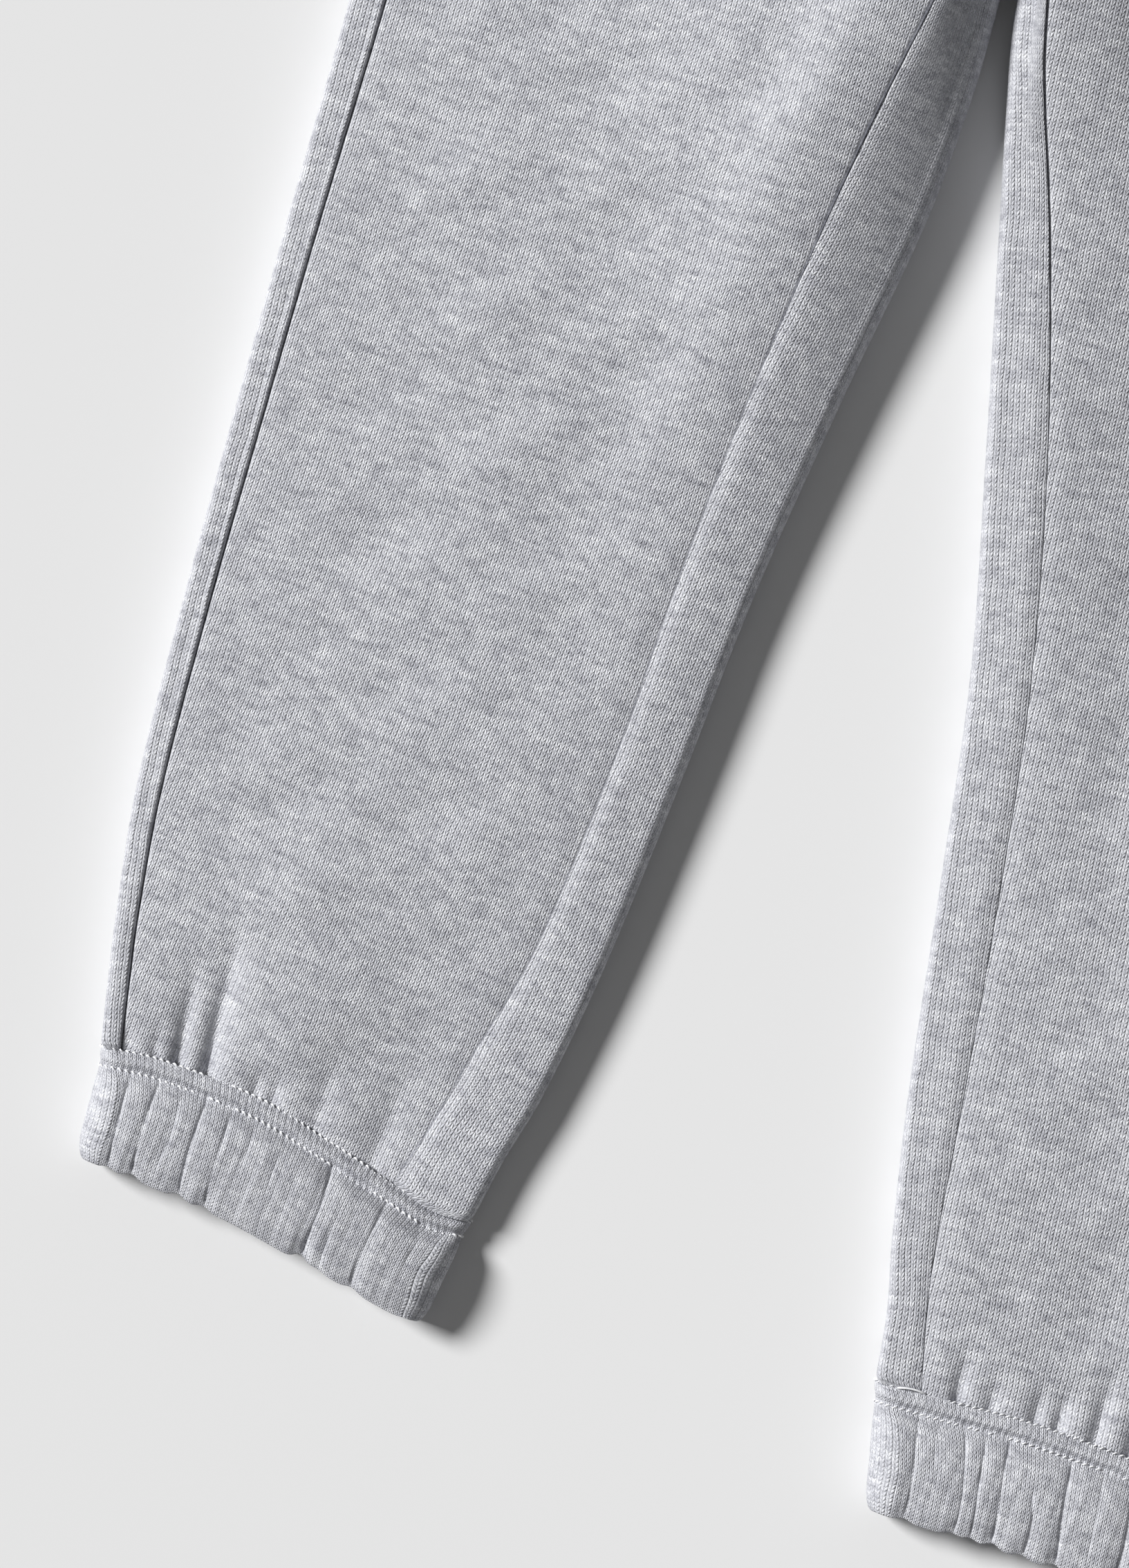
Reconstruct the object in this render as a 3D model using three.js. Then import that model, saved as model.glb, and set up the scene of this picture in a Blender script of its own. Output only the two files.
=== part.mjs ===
import * as THREE from 'three';

// Jogger sweatpants for a child of three to four years, laid flat on their back with the front up.
// Millimetres. The crotch fold is the measuring point: x runs to the wearer's left, y to the waist,
// z up from the surface. The group at the end moves it so that the origin is the middle of the
// underside. Each panel is one wall of cloth, with the same form inside as outside, and the seams
// between panels are open by SEAM_GAP. The legs are stuffed up a little: the front lies over the back
// at TOP beside the outer folds, and rises from there by its leg's swell.

// Driving sizes: the cloth, and how the garment lies
const CLOTH = 2.6;             // brushed fleece jersey, one layer
const INSIDE_GAP = 3.6;        // air between the front and the back
const SEAM_GAP = 0.3;
const FOLD_R = CLOTH + INSIDE_GAP / 2; // outer radius of the folded sides
const TOP = 2 * FOLD_R;        // height of the laid front over the surface
const THIGH_FOLD_R = 6.5;      // the inner folds of the legs are fuller at the thigh,
const THIGH_RISE = [0.45, 0.88]; // from here to here up the leg,
const THIGH_FALL = [0.9, 1];   // and back at the crotch

// Driving sizes: the body of the garment
const WAIST_SEAM_Y = 166;      // lower edge of the waistband above the crotch fold
const WAIST_TOP_Y = 197;       // top fold of the waistband
const CROTCH_ROW_Y = 3;        // where the crotch row meets the side folds
const CROTCH_SEAM_Y = 14;      // the four leg seams meet here, on the front
const NOTCH_R = 1.5;           // roundness of the crotch fold between the legs
const CENTRE = new THREE.Vector2(5.5, -94.5); // middle of the laid garment, from the crotch fold

// Driving sizes: how the cloth lies at the seams
const SEAM_DIP = 0.55;         // the front sinks towards its seams,
const SEAM_DIP_HALF = 2.2;     // over this distance
const ROLL = 0.8;              // the back's edge rolls up beside a seam,
const ROLL_AT = 1.1;           // this far from it
const ROLL_HALF = 0.9;
const OUTER_CROWN = 0.1;       // rise of the strip between the outseam and the fold, in its middle
const INNER_CROWN = 0.35;      // and of the strip between the inseam and the fold
const CROWN_STARTS = 3;        // a strip has its crown if it is wide enough,
const CROWN_FULL = 14;
const OUTER_BEND = 1.2;        // a strip falls to its fold evenly (1) or mostly beside the fold (2)
const KNEE_BEND = 2.0;
const CROTCH_BEND = 1.1;
const BEND_CHANGES = [0.5, 0.85];
const WAVE = 0.45;             // soft waves of the front, away from its seams
const WAVE_SPAN = { x: 67, y: 41, from: 4, to: 30 };

// The hip, from the crotch row (up 1) to the waistband (up 2): half of the laid width
const HIP = [
  { up: 1.0, y: CROTCH_ROW_Y, out: 155.8, outseam: 9.5 },
  { up: 1.3, y: 48, out: 155.0, outseam: 9.8 },
  { up: 1.6, y: 98, out: 148.5, outseam: 9.6 },
  { up: 1.85, y: 141, out: 134.0, outseam: 8.8 },
  { up: 2.0, y: WAIST_SEAM_Y, out: 121.0, outseam: 8.0 },
];

// The legs as they lie, from the hem stitching (up 0) to the crotch row (up 1). out, in and inseam
// are distances from the garment's centre line, outseam is the seam's distance from the outer fold.
const RIGHT_LEG = {
  side: -1, hemOutY: -317.4, hemInY: -336, casingOutY: -345.2, casingInY: -363.2,
  rows: [
    { up: 0.00, out: 150.2, in: 51.0, inseam: 72.0, outseam: 5.2 },
    { up: 0.05, out: 152.6, in: 47.0, inseam: 66.6, outseam: 5.2 },
    { up: 0.10, out: 154.8, in: 42.0, inseam: 62.1, outseam: 5.4 },
    { up: 0.20, out: 158.0, in: 35.4, inseam: 52.7, outseam: 6.2 },
    { up: 0.35, out: 158.6, in: 28.6, inseam: 45.7, outseam: 6.6 },
    { up: 0.50, out: 158.2, in: 22.6, inseam: 41.4, outseam: 7.2 },
    { up: 0.65, out: 157.6, in: 14.2, inseam: 35.2, outseam: 7.8 },
    { up: 0.80, out: 156.7, in: 4.9, inseam: 26.4, outseam: 8.6 },
    { up: 0.90, out: 156.3, in: 1.9, inseam: 18.8, outseam: 9.1 },
    { up: 0.95, out: 156.0, in: 1.6, inseam: 13.6, outseam: 9.3 },
    { up: 1.00, out: 155.8, in: 1.65, inseam: 0.15, outseam: 9.5 },
  ],
  // how far the front lies over TOP: at the outseam, at a quarter, half and three quarters of the
  // way to the inseam, at the shoulder before it, and at the inseam. From up 1 it is the hip.
  swell: [
    { up: 0.00, at: [0.0, 0.0, 0.0, 0.0, 0.0, 0.0] },
    { up: 0.05, at: [0.5, 1.6, 2.6, 0.6, -0.4, -0.6] },
    { up: 0.12, at: [0.8, 2.0, 3.6, 1.4, -0.3, -0.9] },
    { up: 0.24, at: [0.9, 1.8, 3.4, 2.6, 1.2, 0.6] },
    { up: 0.40, at: [0.9, 2.2, 3.8, 2.8, 2.8, 2.6] },
    { up: 0.55, at: [0.9, 2.2, 3.2, 2.6, 5.4, 5.4] },
    { up: 0.70, at: [0.9, 2.4, 3.0, 3.8, 9.6, 9.6] },
    { up: 0.82, at: [0.9, 2.4, 2.8, 6.0, 14.2, 13.0] },
    { up: 0.90, at: [0.9, 2.2, 2.8, 7.4, 15.2, 12.8] },
    { up: 1.00, at: [0.9, 2.2, 3.0, 7.4, 13.6, 9.0] },
    { up: 1.20, at: [0.8, 2.0, 2.8, 5.2, 8.2, 3.8] },
    { up: 1.50, at: [0.6, 1.2, 1.8, 2.2, 2.0, 1.0] },
    { up: 2.00, at: [0.0, 0.0, 0.0, 0.0, 0.0, 0.0] },
  ],
  // how far the hem stitching lies above a straight line, across from the outer fold
  hemLine: [
    { across: 0.0, lift: 0 }, { across: 0.16, lift: 3.4 }, { across: 0.42, lift: 5.2 },
    { across: 0.6, lift: 3.0 }, { across: 0.78, lift: 0.4 }, { across: 0.9, lift: -1.4 },
    { across: 1.0, lift: 0 },
  ],
  // gathers of the casing, and soft folds that they send up the leg: across the laid hem from the
  // outer fold, depth, half width, and where they start and stop between stitching and bottom fold
  gathers: [
    { across: 0.04, depth: 1.0, half: 1.2, from: 0.35, to: 0.75 },
    { across: 0.09, depth: 1.6, half: 1.3, from: 0.20, to: 1.0 },
    { across: 0.16, depth: 2.2, half: 1.4, from: 0.18, to: 1.0 },
    { across: 0.22, depth: 1.0, half: 1.1, from: 0.20, to: 0.8 },
    { across: 0.29, depth: 2.1, half: 1.4, from: 0.18, to: 1.0 },
    { across: 0.36, depth: 1.7, half: 1.3, from: 0.22, to: 1.0 },
    { across: 0.42, depth: 0.9, half: 1.1, from: 0.18, to: 0.5 },
    { across: 0.51, depth: 0.8, half: 1.2, from: 0.25, to: 0.6 },
    { across: 0.64, depth: 3.2, half: 1.3, from: 0.16, to: 1.0 },
    { across: 0.69, depth: 1.2, half: 1.0, from: 0.62, to: 1.0 },
    { across: 0.79, depth: 1.5, half: 1.2, from: 0.16, to: 1.0 },
    { across: 0.89, depth: 0.9, half: 1.1, from: 0.18, to: 0.5 },
    { across: 0.96, depth: 1.5, half: 1.3, from: 0.18, to: 1.0 },
  ],
  folds: [
    { across: 0.065, depth: 0.6, half: 2.0, reach: 10 },
    { across: 0.136, depth: 0.7, half: 1.8, reach: 12 },
    { across: 0.195, depth: 1.5, half: 2.4, reach: 24 },
    { across: 0.270, depth: 1.6, half: 2.6, reach: 32 },
    { across: 0.400, depth: 1.0, half: 2.2, reach: 9 },
    { across: 0.445, depth: 0.9, half: 2.0, reach: 10 },
    { across: 0.560, depth: 0.5, half: 3.5, reach: 20 },
    { across: 0.720, depth: 0.9, half: 5.0, reach: 26 },
  ],
};
const LEFT_LEG = {
  side: 1, hemOutY: -356.4, hemInY: -348.5, casingOutY: -386.4, casingInY: -379.2,
  rows: [
    { up: 0.00, out: 154.6, in: 55.4, inseam: 66.8, outseam: 5.2 },
    { up: 0.05, out: 157.4, in: 53.8, inseam: 63.4, outseam: 5.2 },
    { up: 0.10, out: 161.4, in: 50.5, inseam: 61.0, outseam: 5.4 },
    { up: 0.20, out: 167.2, in: 45.4, inseam: 58.5, outseam: 6.2 },
    { up: 0.35, out: 169.8, in: 39.8, inseam: 54.2, outseam: 6.6 },
    { up: 0.50, out: 169.4, in: 33.8, inseam: 48.4, outseam: 7.2 },
    { up: 0.65, out: 166.8, in: 23.9, inseam: 38.4, outseam: 7.8 },
    { up: 0.80, out: 161.6, in: 13.4, inseam: 24.2, outseam: 8.6 },
    { up: 0.90, out: 158.0, in: 6.4, inseam: 12.4, outseam: 9.1 },
    { up: 0.95, out: 156.6, in: 3.2, inseam: 7.8, outseam: 9.3 },
    { up: 1.00, out: 155.8, in: 1.65, inseam: 0.15, outseam: 9.5 },
  ],
  swell: [
    { up: 0.00, at: [0.0, 0.0, 0.0, 0.0, 0.0, 0.0] },
    { up: 0.05, at: [0.4, -0.4, -1.4, -0.4, 0.5, 0.5] },
    { up: 0.12, at: [0.6, 0.2, -1.0, 0.3, 0.9, 0.9] },
    { up: 0.25, at: [0.8, 0.8, 0.6, 0.8, 1.0, 1.1] },
    { up: 0.40, at: [0.8, 1.0, 0.4, 0.3, 1.0, 1.4] },
    { up: 0.50, at: [0.8, 0.8, -0.8, -1.4, 0.5, 1.7] },
    { up: 0.60, at: [0.8, 0.6, -1.5, -2.2, 0.2, 2.0] },
    { up: 0.72, at: [0.8, 0.8, -1.6, -2.3, 0.3, 2.2] },
    { up: 0.85, at: [0.8, 1.0, -1.0, -1.6, 1.0, 2.6] },
    { up: 0.94, at: [0.8, 1.0, -0.6, -0.2, 4.2, 6.2] },
    { up: 1.00, at: [0.8, 1.0, -0.2, 2.0, 7.4, 9.0] },
    { up: 1.20, at: [0.8, 1.0, 0.8, 2.6, 5.4, 3.8] },
    { up: 1.50, at: [0.5, 0.8, 0.8, 0.8, 1.0, 1.0] },
    { up: 2.00, at: [0.0, 0.0, 0.0, 0.0, 0.0, 0.0] },
  ],
  hemLine: [
    { across: 0.0, lift: 0 }, { across: 0.3, lift: 2.4 }, { across: 0.6, lift: 2.8 },
    { across: 0.85, lift: 1.0 }, { across: 1.0, lift: 0 },
  ],
  gathers: [
    { across: 0.05, depth: 1.1, half: 1.2, from: 0.30, to: 0.9 },
    { across: 0.10, depth: 1.6, half: 1.3, from: 0.20, to: 1.0 },
    { across: 0.17, depth: 2.0, half: 1.3, from: 0.18, to: 1.0 },
    { across: 0.25, depth: 1.2, half: 1.2, from: 0.30, to: 1.0 },
    { across: 0.32, depth: 2.2, half: 1.4, from: 0.16, to: 1.0 },
    { across: 0.40, depth: 1.3, half: 1.2, from: 0.20, to: 0.8 },
    { across: 0.48, depth: 2.3, half: 1.3, from: 0.18, to: 1.0 },
    { across: 0.57, depth: 1.6, half: 1.2, from: 0.50, to: 1.0 },
    { across: 0.65, depth: 2.4, half: 1.4, from: 0.16, to: 1.0 },
    { across: 0.71, depth: 1.8, half: 1.2, from: 0.22, to: 1.0 },
    { across: 0.76, depth: 1.6, half: 1.2, from: 0.18, to: 1.0 },
    { across: 0.83, depth: 1.0, half: 1.1, from: 0.18, to: 0.5 },
    { across: 0.89, depth: 1.5, half: 1.2, from: 0.16, to: 1.0 },
  ],
  folds: [
    { across: 0.090, depth: 0.7, half: 1.8, reach: 12 },
    { across: 0.170, depth: 1.2, half: 2.2, reach: 20 },
    { across: 0.260, depth: 0.9, half: 2.4, reach: 14 },
    { across: 0.345, depth: 1.4, half: 2.4, reach: 26 },
    { across: 0.440, depth: 1.2, half: 2.2, reach: 22 },
    { across: 0.535, depth: 1.3, half: 2.0, reach: 12 },
    { across: 0.595, depth: 1.2, half: 2.0, reach: 11 },
    { across: 0.710, depth: 0.9, half: 2.2, reach: 10 },
    { across: 0.795, depth: 1.2, half: 2.0, reach: 16 },
  ],
};

const SWELL_PLACES = [0, 0.25, 0.5, 0.75, 0.88, 1]; // where the swell's numbers lie, across the front

// The double cloth of a casing: along it from the stitching (0) to the fold (1), half the height
// of the ring there, and the height of the ring's middle. The elastic inside fills out its belly.
const CASING_SECTION = [
  { along: 0.00, half: 4.3, mid: 4.3, face: 1 },
  { along: 0.08, half: 4.9, mid: 4.9, face: 1 },
  { along: 0.16, half: 4.6, mid: 4.6, face: 1 },
  { along: 0.30, half: 6.4, mid: 6.4, face: 1 },
  { along: 0.56, half: 7.2, mid: 7.2, face: 1 },
  { along: 0.82, half: 6.9, mid: 6.9, face: 1 },
  { along: 0.95, half: 5.8, mid: 6.7, face: 1 },
  { along: 1.00, half: 4.3, mid: 6.6, face: 0 },
  { along: 0.95, half: 2.9, mid: 6.7, face: 0 },
  { along: 0.82, half: 1.8, mid: 6.9, face: 0 },
  { along: 0.45, half: 1.8, mid: 6.9, face: 0 },
  { along: 0.16, half: 1.8, mid: 4.6, face: 0 },
  { along: 0.00, half: 1.7, mid: 4.3, face: 0 },
];

// Grid of the panels
const FRONT_COLUMNS = 24;
const UNDER_COLUMNS = 8;
const LEG_ROWS = [0, 0.022, 0.045, 0.07, 0.1, 0.15, 0.22, 0.3, 0.39, 0.48, 0.57, 0.66, 0.75, 0.83,
  0.89, 0.93, 0.96, 0.98];
const HIP_ROWS = [1.2, 1.4, 1.6, 1.75, 1.86, 1.93, 2];
const NOTCH_STEPS = 3;

const COLOURS = {
  panel: new THREE.MeshStandardMaterial({ color: 0xbfc1c9, roughness: 0.95, metalness: 0 }),
  casing: new THREE.MeshStandardMaterial({ color: 0xc4c5cb, roughness: 0.95, metalness: 0 }),
};

const lerp = THREE.MathUtils.lerp;
const smoothstep = THREE.MathUtils.smoothstep;

// A smooth curve through one column of a table, by cubic pieces with the neighbours' slopes
function curve(rows, at, value, t) {
  let k = 0;
  while (k < rows.length - 2 && t > rows[k + 1][at]) k += 1;
  const slope = (i) => {
    const a = rows[Math.max(i - 1, 0)];
    const b = rows[Math.min(i + 1, rows.length - 1)];
    return (b[value] - a[value]) / (b[at] - a[at]);
  };
  const from = rows[k];
  const to = rows[k + 1];
  const span = to[at] - from[at];
  const s = THREE.MathUtils.clamp((t - from[at]) / span, 0, 1);
  const start = (1 + 2 * s) * (1 - s) ** 2;
  const end = s * s * (3 - 2 * s);
  return start * from[value] + end * to[value]
    + span * (s * (1 - s) ** 2 * slope(k) - s * s * (1 - s) * slope(k + 1));
}

// The round start of the crotch fold, as a share of the leg's length
function notchStart(leg) {
  return 1 + NOTCH_R / leg.hemInY;
}

// Outer fold of one half of the garment, in plan
function outerEdge(leg, up) {
  if (up <= 1) {
    const x = leg.side * curve(leg.rows, 'up', 'out', up);
    return new THREE.Vector2(x, lerp(leg.hemOutY, CROTCH_ROW_Y, up));
  }
  return new THREE.Vector2(leg.side * curve(HIP, 'up', 'out', up), curve(HIP, 'up', 'y', up));
}

// Inner fold of a leg, in plan, with the quarter round at the crotch
function innerEdge(leg, up) {
  const start = notchStart(leg);
  if (up < start) {
    return new THREE.Vector2(leg.side * curve(leg.rows, 'up', 'in', up), leg.hemInY * (1 - up));
  }
  const turn = ((up - start) / (1 - start)) * (Math.PI / 2);
  const x = SEAM_GAP / 2 + NOTCH_R * Math.cos(turn);
  return new THREE.Vector2(leg.side * x, NOTCH_R * (Math.sin(turn) - 1));
}

// Level direction that points out of the cloth, square to a fold. At the hem and the waistband
// it turns into the line of the row, which is where the casings join on.
function outward(edge, leg, up) {
  const start = notchStart(leg);
  const inner = edge === innerEdge;
  if (inner && up >= start) {
    const turn = ((up - start) / (1 - start)) * (Math.PI / 2);
    return new THREE.Vector2(-leg.side * Math.cos(turn), -Math.sin(turn));
  }
  const step = 0.004;
  const last = inner ? start - 1e-6 : 2;
  const tangent = edge(leg, Math.min(up + step, last)).sub(edge(leg, Math.max(up - step, 0))).normalize();
  const square = new THREE.Vector2(tangent.y, -tangent.x).multiplyScalar(inner ? -leg.side : leg.side);
  const row = rowDirection(leg, up).multiplyScalar(inner ? -1 : 1);
  const towardsRow = Math.max(1 - smoothstep(up, 0, 0.08), smoothstep(up, 1.9, 2));
  return square.lerp(row, towardsRow).normalize();
}

// Direction of a row in plan, from its inner end to the outer fold
function rowDirection(leg, up) {
  const inner = up < 1 ? innerEdge(leg, up) : inseam(leg, up);
  return outerEdge(leg, up).sub(inner).normalize();
}

// The inseam, which ends at the centre line above the crotch fold, and the centre seams over it
function inseam(leg, up) {
  if (up <= 1) {
    const x = curve(leg.rows, 'up', 'inseam', up);
    const outer = outerEdge(leg, up);
    const inner = innerEdge(leg, Math.min(up, notchStart(leg) - 1e-6));
    const share = (x - Math.abs(inner.x)) / (Math.abs(outer.x) - Math.abs(inner.x));
    const y = lerp(lerp(leg.hemInY, 0, up), outer.y, Math.max(share, 0));
    return new THREE.Vector2(leg.side * x, y + CROTCH_SEAM_Y * up ** 4);
  }
  return new THREE.Vector2(leg.side * SEAM_GAP / 2, lerp(CROTCH_SEAM_Y, WAIST_SEAM_Y, up - 1));
}

// The outseam, on the front, a little inside the outer fold
function outseamInset(leg, up) {
  return up <= 1 ? curve(leg.rows, 'up', 'outseam', up) : curve(HIP, 'up', 'outseam', up);
}

// Share of a row's width at which a place lies, from the outer fold
function acrossRow(outer, inner, place) {
  const row = inner.clone().sub(outer);
  return new THREE.Vector2(place.x, place.y).sub(outer).dot(row) / row.lengthSq();
}

// The curved hem stitching draws the rows near it along
function hemLift(leg, across, up) {
  const fade = 1 - smoothstep(up, 0, 0.3);
  return fade * curve(leg.hemLine, 'across', 'lift', THREE.MathUtils.clamp(across, 0, 1));
}

// How far the front lies over TOP, for a place up the leg and its share of the way to the inseam
function swell(leg, up, share) {
  const line = SWELL_PLACES.map((place, k) => {
    const column = leg.swell.map((row) => ({ up: row.up, height: row.at[k] }));
    return { place, height: curve(column, 'up', 'height', up) };
  });
  return curve(line, 'place', 'height', share);
}

// Radius of the inner fold of a leg, fullest at the thigh
function innerRadius(up) {
  return lerp(FOLD_R, THIGH_FOLD_R, smoothstep(up, ...THIGH_RISE) - smoothstep(up, ...THIGH_FALL));
}

// A rounded bump of height 1, down to 1/e at half its width
function bell(x, half) {
  return Math.exp(-((x / half) ** 2));
}

// Depth of the soft folds over a hem, for a place across the leg and up it
function hemFolds(leg, across, up, width) {
  const rise = up * Math.abs(leg.hemInY);
  let depth = 0;
  for (const fold of leg.folds) {
    const half = fold.half * (1 + rise / fold.reach);
    const fade = 1 - smoothstep(rise, 0.2 * fold.reach, fold.reach);
    depth += fold.depth * bell((across - fold.across) * width, half) * fade;
  }
  return depth;
}

// Gathers of the waistband, over the whole front: spacing, depth and length vary from one to the
// next. The folds that they send down the hip lie under them.
const WAIST_WIDTH = 2 * HIP[HIP.length - 1].out;
const WAIST_GATHER_COUNT = 22;
const WAIST_FOLD_HALF = 2.2;
const WAIST_FOLD_SHARE = 0.65; // depth of a fold on the hip, as a share of its gather's
const WAIST_GATHERS = Array.from({ length: WAIST_GATHER_COUNT }, (_, k) => ({
  across: (k + 0.5 + 0.24 * Math.sin(2.1 * k + 0.7)) / WAIST_GATHER_COUNT,
  depth: 1.7 + 0.8 * Math.sin(1.7 * k + 0.4),
  half: 1.5,
  from: 0.16,
  to: 1 - 0.25 * Math.max(Math.sin(2.9 * k), 0),
  reach: 22 + 14 * Math.sin(1.3 * k + 2),
}));

// Depth of the folds under the waistband, for a place in plan and its distance below the band
function waistFolds(x, below) {
  return WAIST_GATHERS.reduce((depth, gather) => {
    const half = WAIST_FOLD_HALF * (1 + below / gather.reach);
    const fade = 1 - smoothstep(below, 0.15 * gather.reach, 1.3 * gather.reach);
    const off = x - (gather.across - 0.5) * WAIST_WIDTH;
    return depth + WAIST_FOLD_SHARE * gather.depth * bell(off, half) * fade;
  }, 0);
}

// Height of the front over the swollen form: sunk seams, soft folds and waves
function frontRelief(leg, p, across, up, fromOutseam, fromInseam, width) {
  const dip = SEAM_DIP * (bell(fromOutseam, SEAM_DIP_HALF) + bell(fromInseam, SEAM_DIP_HALF));
  const inside = smoothstep(Math.min(fromOutseam, fromInseam), WAVE_SPAN.from, WAVE_SPAN.to);
  const wave = WAVE * Math.sin(p.y / WAVE_SPAN.y + p.x / WAVE_SPAN.x + leg.side) * inside;
  return wave - dip - hemFolds(leg, across, up, width) - waistFolds(p.x, WAIST_SEAM_Y - p.y);
}

// Even columns, and the columns that have one on each given fold and split the widest gaps
const EVEN_COLUMNS = Array.from({ length: FRONT_COLUMNS + 1 }, (_, j) => j / FRONT_COLUMNS);
function columnsOn(places) {
  const columns = [0, ...places.filter((place) => place > 0.03 && place < 0.97), 1].sort((a, b) => a - b);
  while (columns.length < EVEN_COLUMNS.length) {
    const gaps = columns.slice(1).map((place, j) => place - columns[j]);
    const widest = gaps.indexOf(Math.max(...gaps));
    columns.splice(widest + 1, 0, (columns[widest] + columns[widest + 1]) / 2);
  }
  return columns;
}

// A closed wall from two faces of points. A cell is there where all of its four corners are, and
// the open edges of the sheet are closed by rims.
function wall(name, rows, material) {
  const points = [];
  const index = rows.map((row) => row.map((point) => {
    if (!point) return -1;
    points.push(point);
    return points.length - 1;
  }));
  const count = points.length;
  const faces = [];
  const edges = new Set();
  for (let i = 0; i + 1 < rows.length; i += 1) {
    for (let j = 0; j + 1 < rows[i].length; j += 1) {
      const [a, b, c, d] = [index[i][j], index[i][j + 1], index[i + 1][j + 1], index[i + 1][j]];
      if (Math.min(a, b, c, d) < 0) continue;
      for (const [p, q, r] of [[a, b, c], [a, c, d]]) {
        faces.push([p, q, r], [r + count, q + count, p + count]);
        edges.add(`${p} ${q}`).add(`${q} ${r}`).add(`${r} ${p}`);
      }
    }
  }
  for (const edge of edges) {
    const [p, q] = edge.split(' ').map(Number);
    if (!edges.has(`${q} ${p}`)) faces.push([q, p, p + count], [q, p + count, q + count]);
  }
  return solid(name, [...points.map((p) => p.outer), ...points.map((p) => p.inner)], faces, material);
}

// A mesh with its faces turned outwards
function solid(name, vertices, faces, material) {
  const volume = faces.reduce((sum, [a, b, c]) => {
    const cross = new THREE.Vector3().crossVectors(vertices[b], vertices[c]);
    return sum + vertices[a].dot(cross);
  }, 0);
  const turned = volume < 0 ? faces.map(([a, b, c]) => [a, c, b]) : faces;
  const geometry = new THREE.BufferGeometry().setFromPoints(vertices);
  geometry.setIndex(turned.flat());
  geometry.computeVertexNormals();
  const mesh = new THREE.Mesh(geometry, material);
  mesh.name = name;
  return mesh;
}

// One point of a wall: a place on the plain outer face, its direction outwards and its relief
function wallPoint(place, height, direction, relief) {
  const outer = new THREE.Vector3(place.x, place.y, height).addScaledVector(direction, relief);
  return { outer, inner: outer.clone().addScaledVector(direction, -CLOTH) };
}

// A folded side, from the seam on the front over the fold to the underside. The distance is
// measured over the cloth from the seam, and the flat stretch on the front runs to the seam's place.
// Where the seam lies higher than the fold, the side falls to it, the more beside it the larger bend is.
function sidePoint(fold, seam, seamHeight, distance, relief) {
  const { edge, out, radius, bend } = fold;
  const round = edge.clone().addScaledVector(out, -radius);
  const flat = round.distanceTo(seam);
  const reach = flat + radius * Math.PI / 2;
  const fall = (seamHeight - 2 * radius) * (1 - Math.min(distance / reach, 1) ** bend);
  if (distance < flat) {
    const place = seam.clone().lerp(round, distance / flat);
    return wallPoint(place, 2 * radius + fall, new THREE.Vector3(0, 0, 1), relief);
  }
  const angle = Math.PI / 2 - (distance - flat) / radius;
  const place = round.addScaledVector(out, radius * Math.cos(angle));
  const direction = new THREE.Vector3(out.x * Math.cos(angle), out.y * Math.cos(angle), Math.sin(angle));
  return wallPoint(place, radius * (1 + Math.sin(angle)) + fall, direction, relief);
}

// Rows of the panels: closer together at the hem, at the crotch and under the waistband
function panelRows(leg) {
  const start = notchStart(leg);
  const notch = Array.from({ length: NOTCH_STEPS + 1 }, (_, k) => lerp(start, 1, k / NOTCH_STEPS));
  return [...LEG_ROWS, ...notch, ...HIP_ROWS];
}

// Where the seams of a row lie, moved apart by half of the seam gap to the panel that is asked for
function seamPoint(leg, up, towardsFront) {
  const half = SEAM_GAP / 2;
  const sign = towardsFront ? 1 : -1;
  const line = inseam(leg, up);
  if (up >= 1) return new THREE.Vector2(leg.side * half, line.y + (up === 1 ? 2 * half * sign : 0));
  const tangent = inseam(leg, up + 0.002).sub(inseam(leg, Math.max(up - 0.002, 0))).normalize();
  return line.addScaledVector(new THREE.Vector2(tangent.y, -tangent.x), leg.side * half * sign);
}

// The front of one leg and half of the hip, one wall that lies on the back
function frontPanel(name, leg) {
  const hem = leg.rows[0];
  const fromSeam = hem.outseam / (hem.out - hem.in);
  const toSeam = (hem.out - hem.inseam) / (hem.out - hem.in);
  const hemColumns = columnsOn(leg.folds.map((fold) => (fold.across - fromSeam) / (toSeam - fromSeam)));
  const hip = HIP[HIP.length - 1];
  const waistColumns = columnsOn(WAIST_GATHERS.map((gather) => (
    (hip.out - hip.outseam - leg.side * (gather.across - 0.5) * WAIST_WIDTH) / (hip.out - hip.outseam))));
  const rows = panelRows(leg).map((up) => {
    const edge = outerEdge(leg, up);
    const out = outward(outerEdge, leg, up);
    const start = edge.clone().addScaledVector(out, -outseamInset(leg, up) - SEAM_GAP / 2);
    const end = seamPoint(leg, up, true);
    const inner = up < 1 ? innerEdge(leg, up) : end;
    const width = edge.distanceTo(inner);
    const length = start.distanceTo(end);
    return EVEN_COLUMNS.map((even, j) => {
      const nearHem = lerp(hemColumns[j], even, smoothstep(up, 0.05, 0.3));
      const share = lerp(nearHem, waistColumns[j], smoothstep(up, 1.5, 1.85));
      const place = start.clone().lerp(end, share);
      const across = acrossRow(edge, inner, place);
      const relief = frontRelief(leg, place, across, up, length * share, length * (1 - share), width);
      place.y += hemLift(leg, across, up);
      return wallPoint(place, TOP + swell(leg, up, share), new THREE.Vector3(0, 0, 1), relief);
    });
  });
  return wall(name, rows, COLOURS.panel);
}

// Roll of the back panel at a seam, and the crown of the strip that it wraps on to the front
function stripRelief(distance, flat, crown) {
  const share = THREE.MathUtils.clamp(distance / (flat + FOLD_R), 0, 1);
  return ROLL * bell(distance - ROLL_AT, ROLL_HALF) + crown * Math.sin(Math.PI * share);
}

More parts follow.
